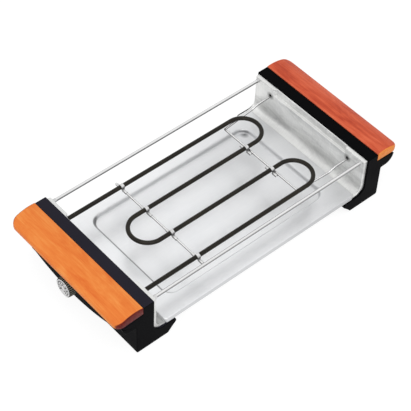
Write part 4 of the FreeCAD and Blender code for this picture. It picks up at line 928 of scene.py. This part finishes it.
def clip_tail(x, y, side):
    """One of the strip's tails, curled round the wire beneath the sheath."""
    inner = WIRE_R + CLIP_GAP
    start = SHEATH_R + CLIP_GAP
    reach = start + CLIP_THICK + CLIP_REACH
    curl = [math.radians(-38 + 256 * k / 12) for k in range(13)]
    rows = []
    for away, grow in ((start + 0.05, 0.0), (start + CLIP_THICK + 0.5, 0.0), (reach - 0.3, 0.0),
                       (reach, -0.15)):
        outer = inner + CLIP_THICK + grow
        rows.append([(x + radius * math.cos(a), y + side * away, WIRE_Z + radius * math.sin(a))
                     for radius, angles in ((outer, curl), (inner, curl[::-1]))
                     for a in angles])
    return loft(rows)


def clip(name, x, y):
    """A bent strip over the sheath whose two tails wrap the wire beneath it."""
    parts = [clip_hoop(x, y), clip_tail(x, y, -1), clip_tail(x, y, 1)]
    return make(name, *join(*parts), CLIP_STEEL, "roaster", "clip_steel", 40)


runs = (RUN, RUN / 3, -RUN / 3, -RUN)
spacer_clips = [clip("spacer_clip_%d" % (i + 1), SPACER_X, y) for i, y in enumerate(runs)]
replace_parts(spacer_clips[0], "spacer_clips")
frame_clips = [clip("frame_clip_%d" % (i + 1), FRAME_X, y) for i, y in enumerate(runs[1:3])]
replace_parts(frame_clips[0], "support_clips")


# ---- knob ------------------------------------------------------------------------------------
def knob_ring(x, radius, flute, around):
    """A ring round the knob's axis, with flutes of a given depth between the ribs."""
    out = []
    for t in turns(around):
        r = radius - max(0.0, math.cos(KNOB_RIBS * t)) ** 0.6 * flute
        out.append((-x, r * math.cos(t), KNOB_Z + r * math.sin(t)))
    return out


def knob():
    """The black knob: a ribbed skirt round a shallow recess for the dial."""
    rings = [knob_ring(x, radius, flute, 240) for x, radius, flute in (
        (KNOB_BASE, 12.6, 0), (KNOB_BASE, 15.1, 0), (KNOB_BASE + 0.4, 15.5, 0.1),
        (KNOB_BASE + 1.0, 15.5, 0.75), (KNOB_FACE - 1.4, 14.95, 0.75),
        (KNOB_FACE - 0.9, 14.9, 0.35), (KNOB_FACE - 0.3, 14.6, 0.0), (KNOB_FACE, 14.1, 0),
        (KNOB_FACE, 13.75, 0), (KNOB_FACE - 0.6, 13.65, 0), (KNOB_FACE - 0.6, 5.0, 0))]
    skirt = make("knob_skirt", *loft(rings), KNOB_BLACK, "knob", "knob_plastic", 30)
    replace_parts(skirt, "control_knob")


def dial():
    """The bright disc in the knob's face, with a raised rim and a raised middle."""
    front = DIAL_FRONT
    rings = [knob_ring(x, radius, 0, 96) for x, radius in (
        (KNOB_FACE - 0.55, 13.6), (front - 0.35, 13.6), (front - 0.12, 13.45), (front, 13.15),
        (front, 11.9), (front - 0.15, 11.7), (front - 0.15, 4.4), (front, 4.2), (front, 0.6))]
    disc = make("dial_disc", *loft(rings), DIAL, "knob", "dial_metal", 30)
    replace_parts(disc, "knob_dial")


def printed_arc(inner, outer, start, end):
    """A flat printed arc on the dial between two radii and two angles from the top."""
    section = [(DIAL_FRONT - 0.2, inner), (DIAL_FRONT - 0.2, outer),
               (DIAL_FRONT + 0.03, outer), (DIAL_FRONT + 0.03, inner)]
    steps = max(2, int((end - start) / 4))
    angles = [math.radians(start + (end - start) * k / steps) for k in range(steps + 1)]
    return loft([[(-x, radius * math.sin(t), KNOB_Z + radius * math.cos(t))
                  for x, radius in section] for t in angles])


def dial_marks():
    """Dashes round the scale and four arcs round the middle."""
    marks = [printed_arc(10.0, 11.6, -135 + 15 * k - 3.5, -135 + 15 * k + 3.5) for k in range(19)]
    marks += [printed_arc(4.4, 5.3, 12 + 90 * k, 78 + 90 * k) for k in range(4)]
    make("dial_marks", *join(*marks), MARK_BLACK, "knob", None)


def dial_numeral(k):
    """One of the plain numbers 0 to 6 on the dial."""
    text = bpy.data.curves.new("numeral_%d" % k, "FONT")
    text.body = str(k)
    text.size = NUMERAL_SIZE * MM
    text.offset = 0.12 * MM
    text.align_x, text.align_y = "CENTER", "CENTER"
    text.extrude = 0.05 * MM
    text.materials.append(MARK_BLACK)
    shown = bpy.data.objects.new("numeral_%d" % k, text)
    bpy.context.scene.collection.objects.link(shown)
    t = math.radians(-135 + 45 * k)
    spot = Vector((-DIAL_FRONT, -NUMERAL_R * math.sin(t), KNOB_Z + NUMERAL_R * math.cos(t)))
    spin = Matrix(((0, 0, -1), (-1, 0, 0), (0, 1, 0))).to_4x4()
    shown.matrix_world = Matrix.Translation(spot * MM) @ spin
    bpy.context.view_layer.update()
    mesh = bpy.data.meshes.new_from_object(
        shown.evaluated_get(bpy.context.evaluated_depsgraph_get()))
    mesh.transform(shown.matrix_world)
    bpy.data.objects.remove(shown)
    numeral = bpy.data.objects.new("dial_numeral_%d" % k, mesh)
    bpy.context.scene.collection.objects.link(numeral)
    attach(numeral, "knob")


knob()
dial()
dial_marks()
for number in range(7):
    dial_numeral(number)


# ---- stage: floor, light, camera; lengths here are metres ------------------------------------
FLOOR_R, FLOOR_DROP, LAMPS_AIM_Z = 6.0, 0.0002, 0.05
AZIMUTH, ELEVATION, ROLL = -43.066, 48.61, 2.908
AIM, DISTANCE = (0.01687, 0.02435, 0), 2.1495
FOCAL_PIXELS, PICTURE_PIXELS, SENSOR_MM = 1475.98, 411, 36.0


def background_rays(tree):
    """1 for rays from the camera, a reflection or a transmission, otherwise 0."""
    path = tree.nodes.new("ShaderNodeLightPath")
    total = path.outputs["Is Camera Ray"]
    for name in ("Is Glossy Ray", "Is Transmission Ray"):
        node = tree.nodes.new("ShaderNodeMath")
        node.operation = "MAXIMUM"
        link(tree, total, node.inputs[0])
        link(tree, path.outputs[name], node.inputs[1])
        total = node.outputs[0]
    return total


def either(tree, usual, seen, kind):
    """One shader for light on the object and another for the background rays."""
    mix = tree.nodes.new("ShaderNodeMixShader")
    out = tree.nodes.new(kind)
    link(tree, background_rays(tree), mix.inputs[0])
    link(tree, usual.outputs[0], mix.inputs[1])
    link(tree, seen.outputs[0], mix.inputs[2])
    link(tree, mix.outputs[0], out.inputs["Surface"])


def shader(tree, kind, grey=1.0, strength=None):
    """A shader node with a plain grey colour and, where it glows, a strength."""
    node = tree.nodes.new(kind)
    node.inputs["Color"].default_value = (grey, grey, grey, 1)
    if strength is not None:
        node.inputs["Strength"].default_value = strength
    return node


def floor():
    """A pale disc that looks white from the camera and still takes the object's shadow."""
    mesh = bpy.data.meshes.new("floor")
    ring = [(FLOOR_R * math.cos(a), FLOOR_R * math.sin(a), -FLOOR_DROP) for a in turns(64)]
    mesh.from_pydata(ring, [], [tuple(range(64))])
    ground = bpy.data.objects.new("floor", mesh)
    bpy.context.scene.collection.objects.link(ground)
    material = bpy.data.materials.new("pale_floor")
    material.use_nodes = True
    tree = material.node_tree
    tree.nodes.clear()
    plain = shader(tree, "ShaderNodeBsdfDiffuse", 0.72)
    faint = shader(tree, "ShaderNodeBsdfDiffuse", 0.2)
    glow = shader(tree, "ShaderNodeEmission", 1.0, 0.88)
    both = tree.nodes.new("ShaderNodeAddShader")
    link(tree, faint.outputs[0], both.inputs[0])
    link(tree, glow.outputs[0], both.inputs[1])
    either(tree, plain, both, "ShaderNodeOutputMaterial")
    mesh.materials.append(material)


def sky():
    """Soft, slightly cool light, with a white background behind the object."""
    world = bpy.data.worlds.new("studio")
    bpy.context.scene.world = world
    world.use_nodes = True
    tree = world.node_tree
    tree.nodes.clear()
    soft = shader(tree, "ShaderNodeBackground", 1.0, 0.74)
    soft.inputs["Color"].default_value = (0.97, 0.985, 1.0, 1)
    white = shader(tree, "ShaderNodeBackground", 1.0, 1.0)
    either(tree, soft, white, "ShaderNodeOutputWorld")


def lamp(name, place, size, watts):
    """A square soft box that looks at the object."""
    data = bpy.data.lights.new(name, "AREA")
    data.size = size
    data.energy = watts
    light = bpy.data.objects.new(name, data)
    bpy.context.scene.collection.objects.link(light)
    light.location = place
    way = Vector((0, 0, LAMPS_AIM_Z)) - light.location
    light.rotation_euler = way.to_track_quat("-Z", "Y").to_euler()


def camera():
    """A high view over the left front corner, turned a little about its own axis."""
    az, el, roll = (math.radians(angle) for angle in (AZIMUTH, ELEVATION, ROLL))
    back = Vector((math.sin(az) * math.cos(el), -math.cos(az) * math.cos(el), math.sin(el)))
    level = (-back).cross(Vector((0, 0, 1))).normalized()
    above = level.cross(-back)
    right = level * math.cos(roll) + above * math.sin(roll)
    up = above * math.cos(roll) - level * math.sin(roll)
    data = bpy.data.cameras.new("view")
    data.sensor_fit = "HORIZONTAL"
    data.sensor_width = SENSOR_MM
    data.lens = FOCAL_PIXELS / PICTURE_PIXELS * SENSOR_MM
    data.clip_start, data.clip_end = 0.1, 50
    eye = bpy.data.objects.new("view", data)
    bpy.context.scene.collection.objects.link(eye)
    turn = Matrix((right, up, back)).transposed().to_4x4()
    eye.matrix_world = Matrix.Translation(Vector(AIM) + back * DISTANCE) @ turn
    bpy.context.scene.camera = eye


floor()
sky()
lamp("key", (-1.1, -1.0, 2.2), 2.0, 18.0)
lamp("fill", (-1.8, 1.2, 1.1), 1.5, 2.6)
camera()
bpy.context.scene.view_settings.view_transform = "Standard"
